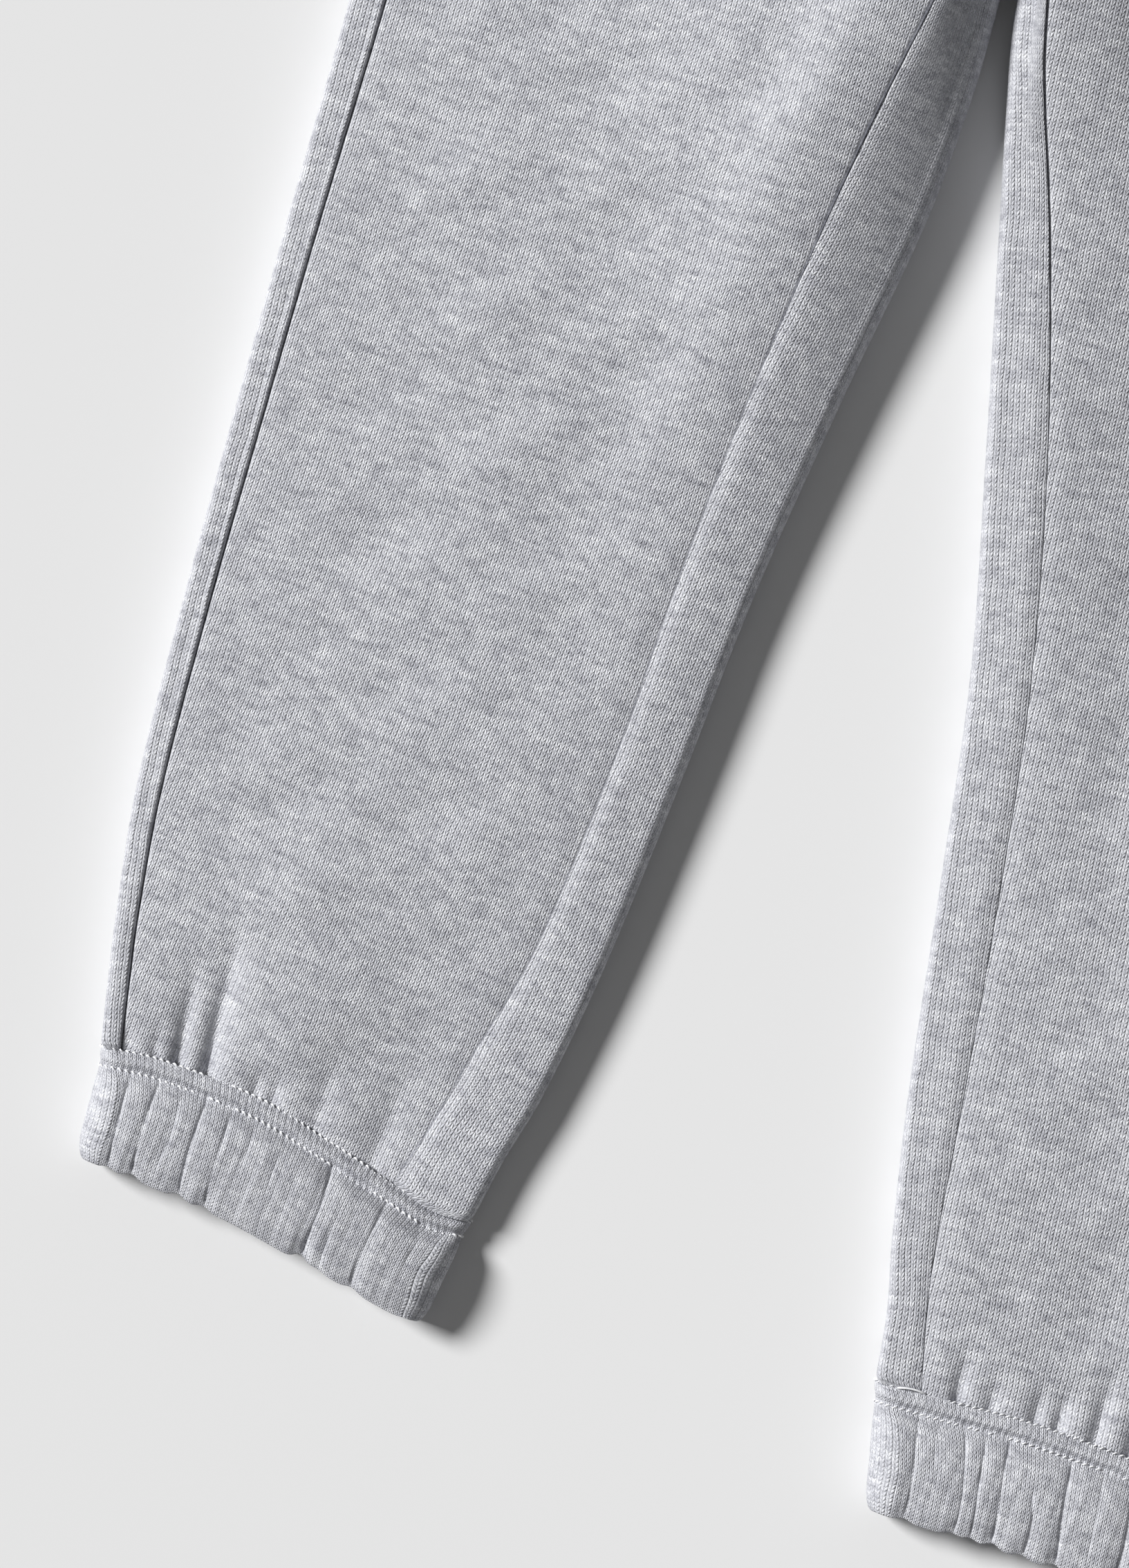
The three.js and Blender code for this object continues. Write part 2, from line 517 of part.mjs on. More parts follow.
// The back of one leg and half of the seat. From the outseam it turns round the outer fold, lies
// on the surface, turns up round the inner fold of the leg and ends at the inseam on the front.
function backPanel(name, leg) {
  const rows = panelRows(leg).map((up) => {
    const edge = outerEdge(leg, up);
    const out = outward(outerEdge, leg, up);
    const outerFold = { edge, out, radius: FOLD_R, bend: OUTER_BEND };
    const seam = edge.clone().addScaledVector(out, -outseamInset(leg, up) + SEAM_GAP / 2);
    const seamHeight = TOP + swell(leg, up, 0);
    const flat = seam.distanceTo(edge) - FOLD_R;
    const round = flat + Math.PI * FOLD_R;
    const outer = [0, ROLL_AT, 2.4, ...[1, 2, 3, 4].map((k) => lerp(2.4, round, k / 4))]
      .map((s) => sidePoint(outerFold, seam, seamHeight, s, stripRelief(s, flat, OUTER_CROWN)));

    const low = Math.min(up, 1);
    const radius = innerRadius(up);
    const inner = innerEdge(leg, low);
    const inward = outward(innerEdge, leg, low);
    const start = edge.clone().addScaledVector(out, -FOLD_R);
    const end = up <= 1
      ? inner.clone().addScaledVector(inward, -radius)
      : new THREE.Vector2(leg.side * SEAM_GAP / 2, lerp(FOLD_R, WAIST_SEAM_Y, up - 1));
    const flatUnder = Array.from({ length: UNDER_COLUMNS }, (_, k) => {
      const place = start.clone().lerp(end, (k + 1) / UNDER_COLUMNS);
      return wallPoint(place, 0, new THREE.Vector3(0, 0, -1), 0);
    });

    const bend = lerp(KNEE_BEND, CROTCH_BEND, smoothstep(up, ...BEND_CHANGES));
    const innerFold = { edge: inner, out: inward, radius, bend };
    const strip = seamPoint(leg, up, false);
    const stripHeight = TOP + swell(leg, up, 1);
    const top = up <= 1 ? end.distanceTo(strip) : 0;
    const crown = INNER_CROWN * smoothstep(top, CROWN_STARTS, CROWN_FULL);
    const ladder = [4, 3, 2, 1, 0].map((k) => top + Math.PI * radius * (k / 5))
      .concat([top * 0.66, top * 0.33 + 0.8, ROLL_AT, 0]);
    const wrapped = ladder.map((s) => (up > 1 ? null
      : sidePoint(innerFold, strip, stripHeight, s, stripRelief(s, top, crown))));
    const row = [...outer, ...flatUnder, ...wrapped];
    const faces = row.flatMap((point) => (point && up < 1 ? [point.outer, point.inner] : []));
    for (const face of faces) face.y += hemLift(leg, acrossRow(edge, inner, face), up);
    return row;
  });
  return wall(name, rows, COLOURS.panel);
}

// A ring of double cloth, laid flat: a closed section carried round it, over the top from the outer
// end to the inner end and back along the underside
function casing(name, ends, gathers, lift) {
  const sides = 5;
  const under = UNDER_COLUMNS;
  const top = grooveColumns(gathers).map((across) => ({ across, angle: Math.PI / 2 }));
  const turned = Array.from({ length: sides - 1 }, (_, k) => (k + 1) * Math.PI / sides);
  const columns = [
    ...top,
    ...turned.map((angle) => ({ across: 1, angle: Math.PI / 2 - angle })),
    ...Array.from({ length: under + 1 }, (_, k) => ({ across: 1 - k / under, angle: -Math.PI / 2 })),
    ...turned.map((angle) => ({ across: 0, angle: angle - Math.PI / 2 })),
  ];
  const vertices = [];
  for (const column of columns) {
    for (const part of CASING_SECTION) {
      const [outer, inner] = ends(part.along);
      const out = outer.clone().sub(inner).normalize();
      const from = outer.clone().addScaledVector(out, -part.mid);
      const to = inner.clone().addScaledVector(out, part.mid);
      const place = from.lerp(to, column.across);
      const across = acrossRow(outer, inner, place);
      const width = outer.distanceTo(inner);
      const groove = part.face * gatherDepth(gathers, across, part.along, width);
      const half = part.half - groove * Math.max(Math.sin(column.angle), 0);
      place.addScaledVector(out, (column.across === 0 ? 1 : -1) * half * Math.cos(column.angle));
      place.y += lift(acrossRow(outer, inner, place), part.along);
      vertices.push(new THREE.Vector3(place.x, place.y, part.mid + half * Math.sin(column.angle)));
    }
  }
  const faces = [];
  const around = columns.length;
  const section = CASING_SECTION.length;
  for (let i = 0; i < around; i += 1) {
    for (let j = 0; j < section; j += 1) {
      const a = i * section + j;
      const b = i * section + (j + 1) % section;
      const c = ((i + 1) % around) * section + (j + 1) % section;
      const d = ((i + 1) % around) * section + j;
      faces.push([a, b, c], [a, c, d]);
    }
  }
  return solid(name, vertices, faces, COLOURS.casing);
}

// Depth of the gathers at a place of a casing
function gatherDepth(gathers, across, along, width) {
  return gathers.reduce((sum, gather) => {
    const shape = gather.depth * bell((across - gather.across) * width, gather.half);
    const starts = smoothstep(along, gather.from - 0.08, gather.from + 0.06);
    const stops = 1 - smoothstep(along, gather.to - 0.05, gather.to + 0.12);
    return sum + shape * starts * stops;
  }, 0);
}

// Columns of a casing: one on each gather, one on each side of it and one on each crest
function grooveColumns(gathers) {
  const places = gathers.map((gather) => gather.across);
  const reach = 0.28 / gathers.length;
  const all = places.flatMap((across) => [across - reach, across, across + reach]);
  for (let k = 0; k + 1 < places.length; k += 1) all.push((places[k] + places[k + 1]) / 2);
  const sorted = [0, ...all, 1].filter((across) => across >= 0 && across <= 1).sort((a, b) => a - b);
  return sorted.filter((across, k) => k === 0 || across - sorted[k - 1] > reach * 0.3);
}

// The elastic pulls a casing in under the stitching, and the hem narrows from there
const HEM_PINCH = 1.2;
const HEM_TAPER = 3.4;
const BAND_PINCH = 4.5;

// The turned-up hem of one leg
function hemCasing(name, leg) {
  const ends = (along) => {
    const pinch = HEM_PINCH * smoothstep(along, 0.02, 0.16);
    const taper = HEM_TAPER * smoothstep(along, 0.1, 1);
    const outX = leg.rows[0].out - 0.6 * pinch;
    const inX = leg.rows[0].in + pinch + taper;
    return [
      new THREE.Vector2(leg.side * outX, lerp(leg.hemOutY - SEAM_GAP, leg.casingOutY, along)),
      new THREE.Vector2(leg.side * inX, lerp(leg.hemInY - SEAM_GAP, leg.casingInY, along)),
    ];
  };
  const lift = (across, along) => hemLift(leg, across, 0) * (1 - 0.55 * along);
  return casing(name, ends, leg.gathers, lift);
}

// The waistband, one ring across both halves of the garment
function waistband(name) {
  const ends = (along) => {
    const x = WAIST_WIDTH / 2 - BAND_PINCH * smoothstep(along, 0, 0.4);
    const y = lerp(WAIST_SEAM_Y + SEAM_GAP, WAIST_TOP_Y, along);
    return [new THREE.Vector2(-x, y), new THREE.Vector2(x, y)];
  };
  return casing(name, ends, WAIST_GATHERS, () => 0);
}

const garment = new THREE.Group();
garment.add(
  backPanel('right_back', RIGHT_LEG),
  backPanel('left_back', LEFT_LEG),
  frontPanel('right_front', RIGHT_LEG),
  frontPanel('left_front', LEFT_LEG),
  hemCasing('right_hem_casing', RIGHT_LEG),
  hemCasing('left_hem_casing', LEFT_LEG),
  waistband('waistband'),
);
garment.position.set(-CENTRE.x, -CENTRE.y, 0);

const sweatpants = new THREE.Group();
sweatpants.add(garment);
export default sweatpants;
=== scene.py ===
import math

import bpy
import numpy as np
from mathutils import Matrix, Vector


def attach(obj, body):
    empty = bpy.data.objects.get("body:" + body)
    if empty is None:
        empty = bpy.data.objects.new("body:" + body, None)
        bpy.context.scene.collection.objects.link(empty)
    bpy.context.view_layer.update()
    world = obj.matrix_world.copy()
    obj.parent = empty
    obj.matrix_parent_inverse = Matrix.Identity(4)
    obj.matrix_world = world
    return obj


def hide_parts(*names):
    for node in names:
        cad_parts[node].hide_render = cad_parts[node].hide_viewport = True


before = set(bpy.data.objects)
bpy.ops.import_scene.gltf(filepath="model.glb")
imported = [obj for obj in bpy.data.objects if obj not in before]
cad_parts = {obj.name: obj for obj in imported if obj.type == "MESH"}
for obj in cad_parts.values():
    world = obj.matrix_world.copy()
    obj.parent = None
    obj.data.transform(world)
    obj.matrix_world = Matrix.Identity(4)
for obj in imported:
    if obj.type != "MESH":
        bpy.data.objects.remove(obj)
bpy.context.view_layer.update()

# Camera
# It hangs over the laid garment and looks straight down, turned as the photo is, with the legs in the
# frame from the crotch to the hems. It is far enough up for the slight perspective of a product shot.
MM = 0.001
PHOTO_PIXELS = (1633, 2268)
MM_TO_A_PIXEL = 0.17
VIEW_CENTRE = (-61.7, -131.1)    # millimetres, in the frame of the part
VIEW_TURN = 14.75                # degrees
VIEW_LEVEL = 9                   # height of the cloth that the scale is taken at
CAMERA_RISE = 1350
SENSOR = 36

camera_data = bpy.data.cameras.new("camera")
camera_data.sensor_width = SENSOR
camera_data.lens = SENSOR * CAMERA_RISE / (PHOTO_PIXELS[1] * MM_TO_A_PIXEL)
camera = bpy.data.objects.new("camera", camera_data)
camera.location = Vector((*VIEW_CENTRE, VIEW_LEVEL + CAMERA_RISE)) * MM
camera.rotation_euler = (0, 0, math.radians(VIEW_TURN))
bpy.context.scene.collection.objects.link(camera)
bpy.context.scene.camera = camera


# Back panels
# Each is one piece of brushed fleece jersey: the back of a leg and half of the seat. It turns round
# the outer fold to the outseam and round the inner fold of the leg to the inseam, both on the front.
CLOTH = 2.6                      # one layer of the jersey, with its nap
INSIDE_GAP = 3.6                 # air between the two layers of a laid leg
SEAM_GAP = 0.04
FOLD_R = CLOTH + INSIDE_GAP / 2
TOP = 2 * FOLD_R
WAIST_SEAM_Y = 166
CROTCH_ROW_Y = 3
CROTCH_SEAM_Y = 14
NOTCH_R = 1.5                    # round of the crotch fold
CENTRE = np.array([5.5, -94.5])  # middle of the laid garment, from the crotch fold


def table(names, *rows):
    """Rows of numbers as one array for each named column."""
    return dict(zip(names.split(), np.array(rows, float).T))


HIP = table(
    "up y out outseam",
    (1.0, CROTCH_ROW_Y, 155.8, 9.5),
    (1.3, 48, 155.0, 9.8),
    (1.6, 98, 148.5, 9.6),
    (1.85, 141, 134.0, 8.8),
    (2.0, WAIST_SEAM_Y, 121.0, 8.0),
)
RIGHT_LEG = dict(
    side=-1, slump=2.0, inner_corner=0.75,
    hem_out_y=-317.4, hem_in_y=-336, casing_out_y=-345.2, casing_in_y=-363.2,
    rows=table(
        "up out in inseam outseam",
        (0.00, 150.2, 51.0, 72.0, 5.2),
        (0.05, 152.6, 47.0, 66.6, 5.2),
        (0.10, 154.8, 42.0, 62.1, 5.4),
        (0.20, 158.0, 35.4, 52.7, 6.2),
        (0.35, 158.6, 28.6, 45.7, 6.6),
        (0.50, 158.2, 22.6, 41.4, 7.2),
        (0.65, 157.6, 14.2, 35.2, 7.8),
        (0.80, 156.7, 4.9, 26.4, 8.6),
        (0.90, 156.3, 1.9, 18.8, 9.1),
        (0.95, 156.0, 1.6, 13.6, 9.3),
        (1.00, 155.8, 1.65, 0.15, 9.5),
    ),
    swell=table(
        "up outseam quarter middle inner_quarter shoulder inseam",
        (0.00, 0.0, 0.0, 0.0, 0.0, 0.0, 0.0),
        (0.05, 0.5, 1.6, 2.6, 1.0, 0.2, 0.0),
        (0.12, 0.8, 2.0, 3.4, 1.9, 0.8, 0.6),
        (0.24, 0.9, 1.8, 3.4, 3.0, 2.4, 2.0),
        (0.40, 0.9, 2.2, 3.8, 3.6, 3.8, 3.4),
        (0.55, 0.9, 2.3, 3.6, 4.2, 5.4, 5.0),
        (0.70, 0.9, 2.8, 4.6, 7.2, 10.0, 9.6),
        (0.82, 0.9, 3.2, 6.0, 10.6, 14.8, 13.2),
        (0.90, 0.9, 3.4, 7.0, 12.6, 16.8, 15.2),
        (1.00, 0.9, 3.4, 7.0, 12.2, 15.4, 12.0),
        (1.20, 0.8, 2.8, 5.4, 8.0, 9.0, 4.4),
        (1.50, 0.6, 1.4, 2.4, 3.0, 2.6, 1.2),
        (2.00, 0.0, 0.0, 0.0, 0.0, 0.0, 0.0),
    ),
    hem_line=table(
        "across lift",
        (0.0, 0), (0.16, 3.4), (0.42, 5.2), (0.6, 3.0), (0.78, 0.4), (0.9, -1.4), (1.0, 0),
    ),
    gathers=table(
        "across depth half start stop",
        (0.04, 1.0, 1.2, 0.35, 0.75),
        (0.09, 1.6, 1.3, 0.20, 1.0),
        (0.16, 2.2, 1.4, 0.18, 1.0),
        (0.22, 1.0, 1.1, 0.20, 0.8),
        (0.29, 2.1, 1.4, 0.18, 1.0),
        (0.36, 1.7, 1.3, 0.22, 1.0),
        (0.42, 0.9, 1.1, 0.18, 0.5),
        (0.51, 0.8, 1.2, 0.25, 0.6),
        (0.64, 3.2, 1.3, 0.16, 1.0),
        (0.69, 1.2, 1.0, 0.62, 1.0),
        (0.79, 1.5, 1.2, 0.16, 1.0),
        (0.89, 0.9, 1.1, 0.18, 0.5),
        (0.96, 1.5, 1.3, 0.18, 1.0),
    ),
    folds=table(
        "across depth half reach",
        (0.065, 0.6, 2.0, 10),
        (0.136, 0.7, 1.8, 12),
        (0.195, 1.8, 2.6, 30),
        (0.270, 2.0, 3.0, 44),
        (0.400, 1.0, 2.2, 9),
        (0.445, 0.9, 2.0, 10),
        (0.560, 0.7, 3.5, 26),
        (0.720, 1.1, 5.0, 32),
    ),
)
LEFT_LEG = dict(
    side=1, slump=0.3, inner_corner=0.28,
    hem_out_y=-356.4, hem_in_y=-348.5, casing_out_y=-386.4, casing_in_y=-379.2,
    rows=table(
        "up out in inseam outseam",
        (0.00, 154.6, 55.4, 66.8, 5.2),
        (0.05, 157.4, 53.8, 63.4, 5.2),
        (0.10, 161.4, 50.5, 61.0, 5.4),
        (0.20, 167.2, 45.4, 58.5, 6.2),
        (0.35, 169.8, 39.8, 54.2, 6.6),
        (0.50, 169.4, 33.8, 48.4, 7.2),
        (0.65, 166.8, 23.9, 38.4, 7.8),
        (0.80, 161.6, 13.4, 24.2, 8.6),
        (0.90, 158.0, 6.4, 12.4, 9.1),
        (0.95, 156.6, 3.2, 7.8, 9.3),
        (1.00, 155.8, 1.65, 0.15, 9.5),
    ),
    swell=table(
        "up outseam quarter middle inner_quarter shoulder inseam",
        (0.00, 0.0, 0.0, 0.0, 0.0, 0.0, 0.0),
        (0.05, 0.4, -0.4, -1.4, -0.4, 0.5, 0.5),
        (0.12, 0.6, 0.2, -1.0, 0.3, 0.9, 0.9),
        (0.25, 0.8, 0.8, 0.6, 0.8, 1.0, 1.1),
        (0.40, 0.8, 1.0, 0.4, 0.3, 1.0, 1.4),
        (0.50, 0.8, 0.8, -0.8, -1.4, 0.5, 1.7),
        (0.60, 0.8, 0.6, -1.5, -2.2, 0.2, 2.0),
        (0.72, 0.8, 0.8, -1.6, -2.3, 0.3, 2.2),
        (0.85, 0.8, 1.0, -1.0, -1.6, 1.0, 2.6),
        (0.94, 0.8, 1.0, -0.6, 0.2, 5.6, 8.2),
        (1.00, 0.8, 1.0, 0.0, 2.6, 9.2, 12.0),
        (1.20, 0.8, 1.0, 1.0, 3.0, 6.0, 4.4),
        (1.50, 0.5, 0.8, 0.8, 0.9, 1.2, 1.2),
        (2.00, 0.0, 0.0, 0.0, 0.0, 0.0, 0.0),
    ),
    hem_line=table(
        "across lift",
        (0.0, 0), (0.3, 2.4), (0.6, 2.8), (0.85, 1.0), (1.0, 0),
    ),
    gathers=table(
        "across depth half start stop",
        (0.05, 1.1, 1.2, 0.30, 0.9),
        (0.10, 1.6, 1.3, 0.20, 1.0),
        (0.17, 2.0, 1.3, 0.18, 1.0),
        (0.25, 1.2, 1.2, 0.30, 1.0),
        (0.32, 2.2, 1.4, 0.16, 1.0),
        (0.40, 1.3, 1.2, 0.20, 0.8),
        (0.48, 2.3, 1.3, 0.18, 1.0),
        (0.57, 1.6, 1.2, 0.50, 1.0),
        (0.65, 2.4, 1.4, 0.16, 1.0),
        (0.71, 1.8, 1.2, 0.22, 1.0),
        (0.76, 1.6, 1.2, 0.18, 1.0),
        (0.83, 1.0, 1.1, 0.18, 0.5),
        (0.89, 1.5, 1.2, 0.16, 1.0),
    ),
    folds=table(
        "across depth half reach",
        (0.090, 0.7, 1.8, 12),
        (0.170, 1.2, 2.2, 20),
        (0.260, 0.9, 2.4, 14),
        (0.345, 1.4, 2.4, 26),
        (0.440, 1.2, 2.2, 22),
        (0.535, 1.3, 2.0, 12),
        (0.595, 1.2, 2.0, 11),
        (0.710, 0.9, 2.2, 10),
        (0.795, 1.2, 2.0, 16),
    ),
)


def lerp(a, b, t):
    return a + (b - a) * t


def smoothstep(x, low, high):
    """0 up to low, 1 from high on, and 3t^2 - 2t^3 between them."""
    t = np.clip((x - low) / (high - low), 0, 1)
    return t * t * (3 - 2 * t)


def bell(x, half):
    """A rounded bump of height 1 at x = 0, down to 1/e at half: exp(-(x / half)^2)."""
    return np.exp(-((x / half) ** 2))


def curve(rows, at, value, t):
    """A smooth curve through one column: cubic pieces, each point's slope taken from its neighbours."""
    x, y = rows[at], rows[value]
    k = np.arange(len(x))
    before, after = np.maximum(k - 1, 0), np.minimum(k + 1, len(x) - 1)
    slope = (y[after] - y[before]) / (x[after] - x[before])
    i = np.clip(np.searchsorted(x, t) - 1, 0, len(x) - 2)
    span = x[i + 1] - x[i]
    s = np.clip((t - x[i]) / span, 0, 1)
    ends = (1 + 2 * s) * (1 - s) ** 2 * y[i] + s * s * (3 - 2 * s) * y[i + 1]
    return ends + span * (s * (1 - s) ** 2 * slope[i] - s * s * (1 - s) * slope[i + 1])


def plan(x, y):
    """A place seen from above, as one array with x and y on its last axis."""
    return np.stack(np.broadcast_arrays(x, y), -1).astype(float)


def length(v):
    return np.linalg.norm(v, axis=-1)


def unit(v):
    return v / length(v)[..., None]


def notch_start(leg):
    """Where the round of the crotch fold starts, as a share of the leg's length."""
    return 1 + NOTCH_R / leg["hem_in_y"]


def outer_edge(leg, up):
    """Outer fold in plan: the leg's table up to the crotch row, the hip's table above it."""
    low, high = np.minimum(up, 1), np.maximum(up, 1)
    x = np.where(up <= 1, curve(leg["rows"], "up", "out", low), curve(HIP, "up", "out", high))
    y = np.where(up <= 1, lerp(leg["hem_out_y"], CROTCH_ROW_Y, low), curve(HIP, "up", "y", high))
    return plan(leg["side"] * x, y)


def inner_edge(leg, up):
    """Inner fold of the leg in plan, which ends in a quarter round at the crotch."""
    start = notch_start(leg)
    turn = np.clip((up - start) / (1 - start), 0, 1) * math.pi / 2
    x = np.where(up < start, curve(leg["rows"], "up", "in", up), SEAM_GAP / 2 + NOTCH_R * np.cos(turn))
    y = np.where(up < start, leg["hem_in_y"] * (1 - up), NOTCH_R * (np.sin(turn) - 1))
    return plan(leg["side"] * x, y)


def inseam(leg, up):
    """The inseam in plan, up to the centre line above the crotch fold, where the centre seam goes on."""
    low = np.minimum(up, 1)
    x = curve(leg["rows"], "up", "inseam", low)
    outer, inner = outer_edge(leg, low), inner_edge(leg, np.minimum(low, notch_start(leg) - 1e-6))
    share = (x - abs(inner[..., 0])) / (abs(outer[..., 0]) - abs(inner[..., 0]))
    y = lerp(lerp(leg["hem_in_y"], 0, low), outer[..., 1], np.maximum(share, 0)) + CROTCH_SEAM_Y * low ** 4
    x = np.where(up <= 1, x, SEAM_GAP / 2)
    return plan(leg["side"] * x, np.where(up <= 1, y, lerp(CROTCH_SEAM_Y, WAIST_SEAM_Y, up - 1)))


def outseam_inset(leg, up):
    """How far the outseam lies inside the outer fold."""
    low, high = np.minimum(up, 1), np.maximum(up, 1)
    return np.where(up <= 1, curve(leg["rows"], "up", "outseam", low), curve(HIP, "up", "outseam", high))


def outward(edge, leg, up):
    """Level direction square to a fold, out of the cloth. At hem and waist it turns into the row's."""
    start = notch_start(leg)
    inner = edge is inner_edge
    last = start - 1e-6 if inner else 2
    ahead = edge(leg, np.minimum(up + 0.004, last))
    behind = edge(leg, np.maximum(np.minimum(up, last) - 0.004, 0))
    tangent = unit(ahead - behind)
    square = plan(tangent[..., 1], -tangent[..., 0]) * (-leg["side"] if inner else leg["side"])
    far_end = np.where((up < 1)[..., None], inner_edge(leg, up), inseam(leg, up))
    row = unit(outer_edge(leg, up) - far_end) * (-1 if inner else 1)
    towards_row = np.maximum(1 - smoothstep(up, 0, 0.08), smoothstep(up, 1.9, 2))[..., None]
    out = unit(lerp(square, row, towards_row))
    if not inner:
        return out
    turn = np.clip((up - start) / (1 - start), 0, 1) * math.pi / 2
    round_out = plan(-leg["side"] * np.cos(turn), -np.sin(turn))
    return np.where((up >= start)[..., None], round_out, out)


def across_row(outer, inner, place):
    """Share of a row's width at which a place lies, from the outer fold."""
    row = inner - outer
    return ((place - outer) * row).sum(-1) / (row * row).sum(-1)


def hem_lift(leg, across, up):
    """The curved hem stitching draws the rows near it along."""
    return (1 - smoothstep(up, 0, 0.3)) * curve(leg["hem_line"], "across", "lift", np.clip(across, 0, 1))


SWELL_PLACES = (0, 0.25, 0.5, 0.75, 0.88, 1)
SWELL_NAMES = ("outseam", "quarter", "middle", "inner_quarter", "shoulder", "inseam")


def swell(leg, up, share):
    """How far the full front lies over a level one: the leg's table, as cubic curves along the leg and
    across it."""
    heights = np.stack(np.broadcast_arrays(*(curve(leg["swell"], "up", name, up) for name in SWELL_NAMES)))
    places = np.array(SWELL_PLACES)
    before, after = [0, 0, 1, 2, 3, 4], [1, 2, 3, 4, 5, 5]
    slopes = (heights[after] - heights[before]) / (places[after] - places[before])[:, None, None]
    total = 0
    for k in range(5):
        span = places[k + 1] - places[k]
        s = (share - places[k]) / span
        piece = (1 + 2 * s) * (1 - s) ** 2 * heights[k] + s * s * (3 - 2 * s) * heights[k + 1]
        piece = piece + span * (s * (1 - s) ** 2 * slopes[k] - s * s * (1 - s) * slopes[k + 1])
        inside = (s >= 0) & ((s < 1) | (k == 4)) if k else s < 1
        total = total + np.where(inside, piece, 0)
    return total


def seam_point(leg, up, towards_front):
    """The inseam, moved by half of the seam gap to the panel that is asked for."""
    half, sign = SEAM_GAP / 2, 1 if towards_front else -1
    line = inseam(leg, up)
    step = 0.002
    above = inseam(leg, np.minimum(up, 1 - step) + step)
    below = inseam(leg, np.maximum(np.minimum(up, 1) - step, 0))
    tangent = unit(above - below)
    beside = line + plan(tangent[..., 1], -tangent[..., 0]) * leg["side"] * half * sign
    level = plan(leg["side"] * half, line[..., 1] + np.where(up == 1, 2 * half * sign, 0))
    return np.where((up < 1)[..., None], beside, level)


def panel_rows(leg, leg_count, hip_count, notch_count=8):
    """Rows of a panel from the hem (0) over the crotch row (1) to the waist (2), closer at both seams."""
    near = np.array([0, 0.3, 0.7, 1.2, 1.8, 2.6, 3.6]) / abs(leg["hem_in_y"])
    start = notch_start(leg)
    legs = np.linspace(near[-1], start, leg_count)[1:]
    notch = np.linspace(start, 1, notch_count)[1:]
    below_band = near[::-1] * abs(leg["hem_in_y"]) / (WAIST_SEAM_Y - CROTCH_ROW_Y)
    hips = np.linspace(1, 2 - below_band[0], hip_count)[1:]
    return np.concatenate([near, legs, notch, hips, 2 - below_band[1:]])


def seam_columns(middle, near=(0, 0.12, 0.26, 0.45, 0.8, 1.3, 1.8, 2.4, 3.2)):
    """Columns between two seams: (fixed distance, share of the length), close together by both seams."""
    near = np.array(near)
    share = np.linspace(0, 1, middle + 2)[1:-1]
    fixed = np.concatenate([near, near[-1] * (1 - 2 * share), -near[::-1]])
    part = np.concatenate([0 * near, share, 0 * near + 1])
    return fixed, part


def side_points(edge, out, seam, seam_height, distance, relief, bend, soft):
    """A folded side: from its seam on the front to the fold and round it to the underside. Where the
    seam lies higher than the fold, the side falls to it, the more steeply the larger bend is. The fold
    is a rounded square above, |cos|^soft and |sin|^soft, and a circle's quarter below.

    distance runs over the cloth from the seam. Returns the outer face, and the inner face one cloth
    inside it."""
    middle = edge - out * FOLD_R
    flat = length(middle - seam)
    angle = math.pi / 2 - np.maximum(distance - flat, 0) / FOLD_R
    place = np.where((distance < flat)[..., None], lerp(seam, middle, (distance / flat)[..., None]), middle)
    power = np.where(angle > 0, soft, 1)
    reach_out, rise = np.cos(angle).clip(0) ** power, np.sign(angle) * abs(np.sin(angle)) ** power
    level = place + out * (FOLD_R * reach_out)[..., None]
    reach = flat + FOLD_R * math.pi / 2
    fall = (seam_height - TOP) * (1 - np.clip(distance / reach, 0, 1) ** bend)
    face = np.concatenate([level, (FOLD_R * (1 + rise) + fall)[..., None]], -1)
    direction = np.concatenate([out * reach_out[..., None], rise[..., None]], -1)
    return face + direction * relief[..., None], face + direction * (relief - CLOTH)[..., None]


CREASE_ANGLE = 55                # degrees. Faces that meet at more than this keep a sharp edge.


def add_mesh(name, points, quads, uv):
    """A mesh in metres from points in millimetres, with one UV, also in millimetres, for each corner."""
    corners = points[quads]
    cross = np.cross(corners[:, 2] - corners[:, 0], corners[:, 3] - corners[:, 1])
    if (cross * corners.mean(1)).sum() < 0:
        quads, uv = quads[:, ::-1], uv[:, ::-1]
    placed = (points - np.array([*CENTRE, 0])) * MM
    mesh = bpy.data.meshes.new(name)
    mesh.from_pydata(placed.tolist(), [], quads.tolist())
    layer = mesh.uv_layers.new(name="cloth")
    layer.data.foreach_set("uv", uv.reshape(-1).astype(np.float32))
    mesh.shade_smooth()
    mesh.set_sharp_from_angle(angle=math.radians(CREASE_ANGLE))
    piece = bpy.data.objects.new(name, mesh)
    bpy.context.scene.collection.objects.link(piece)
    return piece


def cloth_wall(name, outer, inner, uv, there=None):
    """A closed wall of cloth from two grids of points. Cells lie where there is set at all four corners,
    and a strip of quads closes each open edge, which is a cell edge whose reverse no other cell has."""
    rows, columns = outer.shape[:2]
    there = np.ones((rows, columns), bool) if there is None else there
    index = np.arange(rows * columns).reshape(rows, columns)
    cells = np.stack([index[:-1, :-1], index[:-1, 1:], index[1:, 1:], index[1:, :-1]], -1)
    cells = cells[there[:-1, :-1] & there[:-1, 1:] & there[1:, 1:] & there[1:, :-1]]
    count = rows * columns
    start, end = cells.reshape(-1), np.roll(cells, -1, 1).reshape(-1)
    border = ~np.isin(start * count + end, end * count + start)
    a, b = start[border], end[border]
    rim = np.stack([b, a, a + count, b + count], -1)
    quads = np.concatenate([cells, cells[:, ::-1] + count, rim])
    points = np.concatenate([outer.reshape(-1, 3), inner.reshape(-1, 3)])
    used, quads = np.unique(quads, return_inverse=True)
    quads = quads.reshape(-1, 4)
    both = np.concatenate([uv.reshape(-1, 2), uv.reshape(-1, 2)])[used]
    return add_mesh(name, points[used], quads, both[quads])


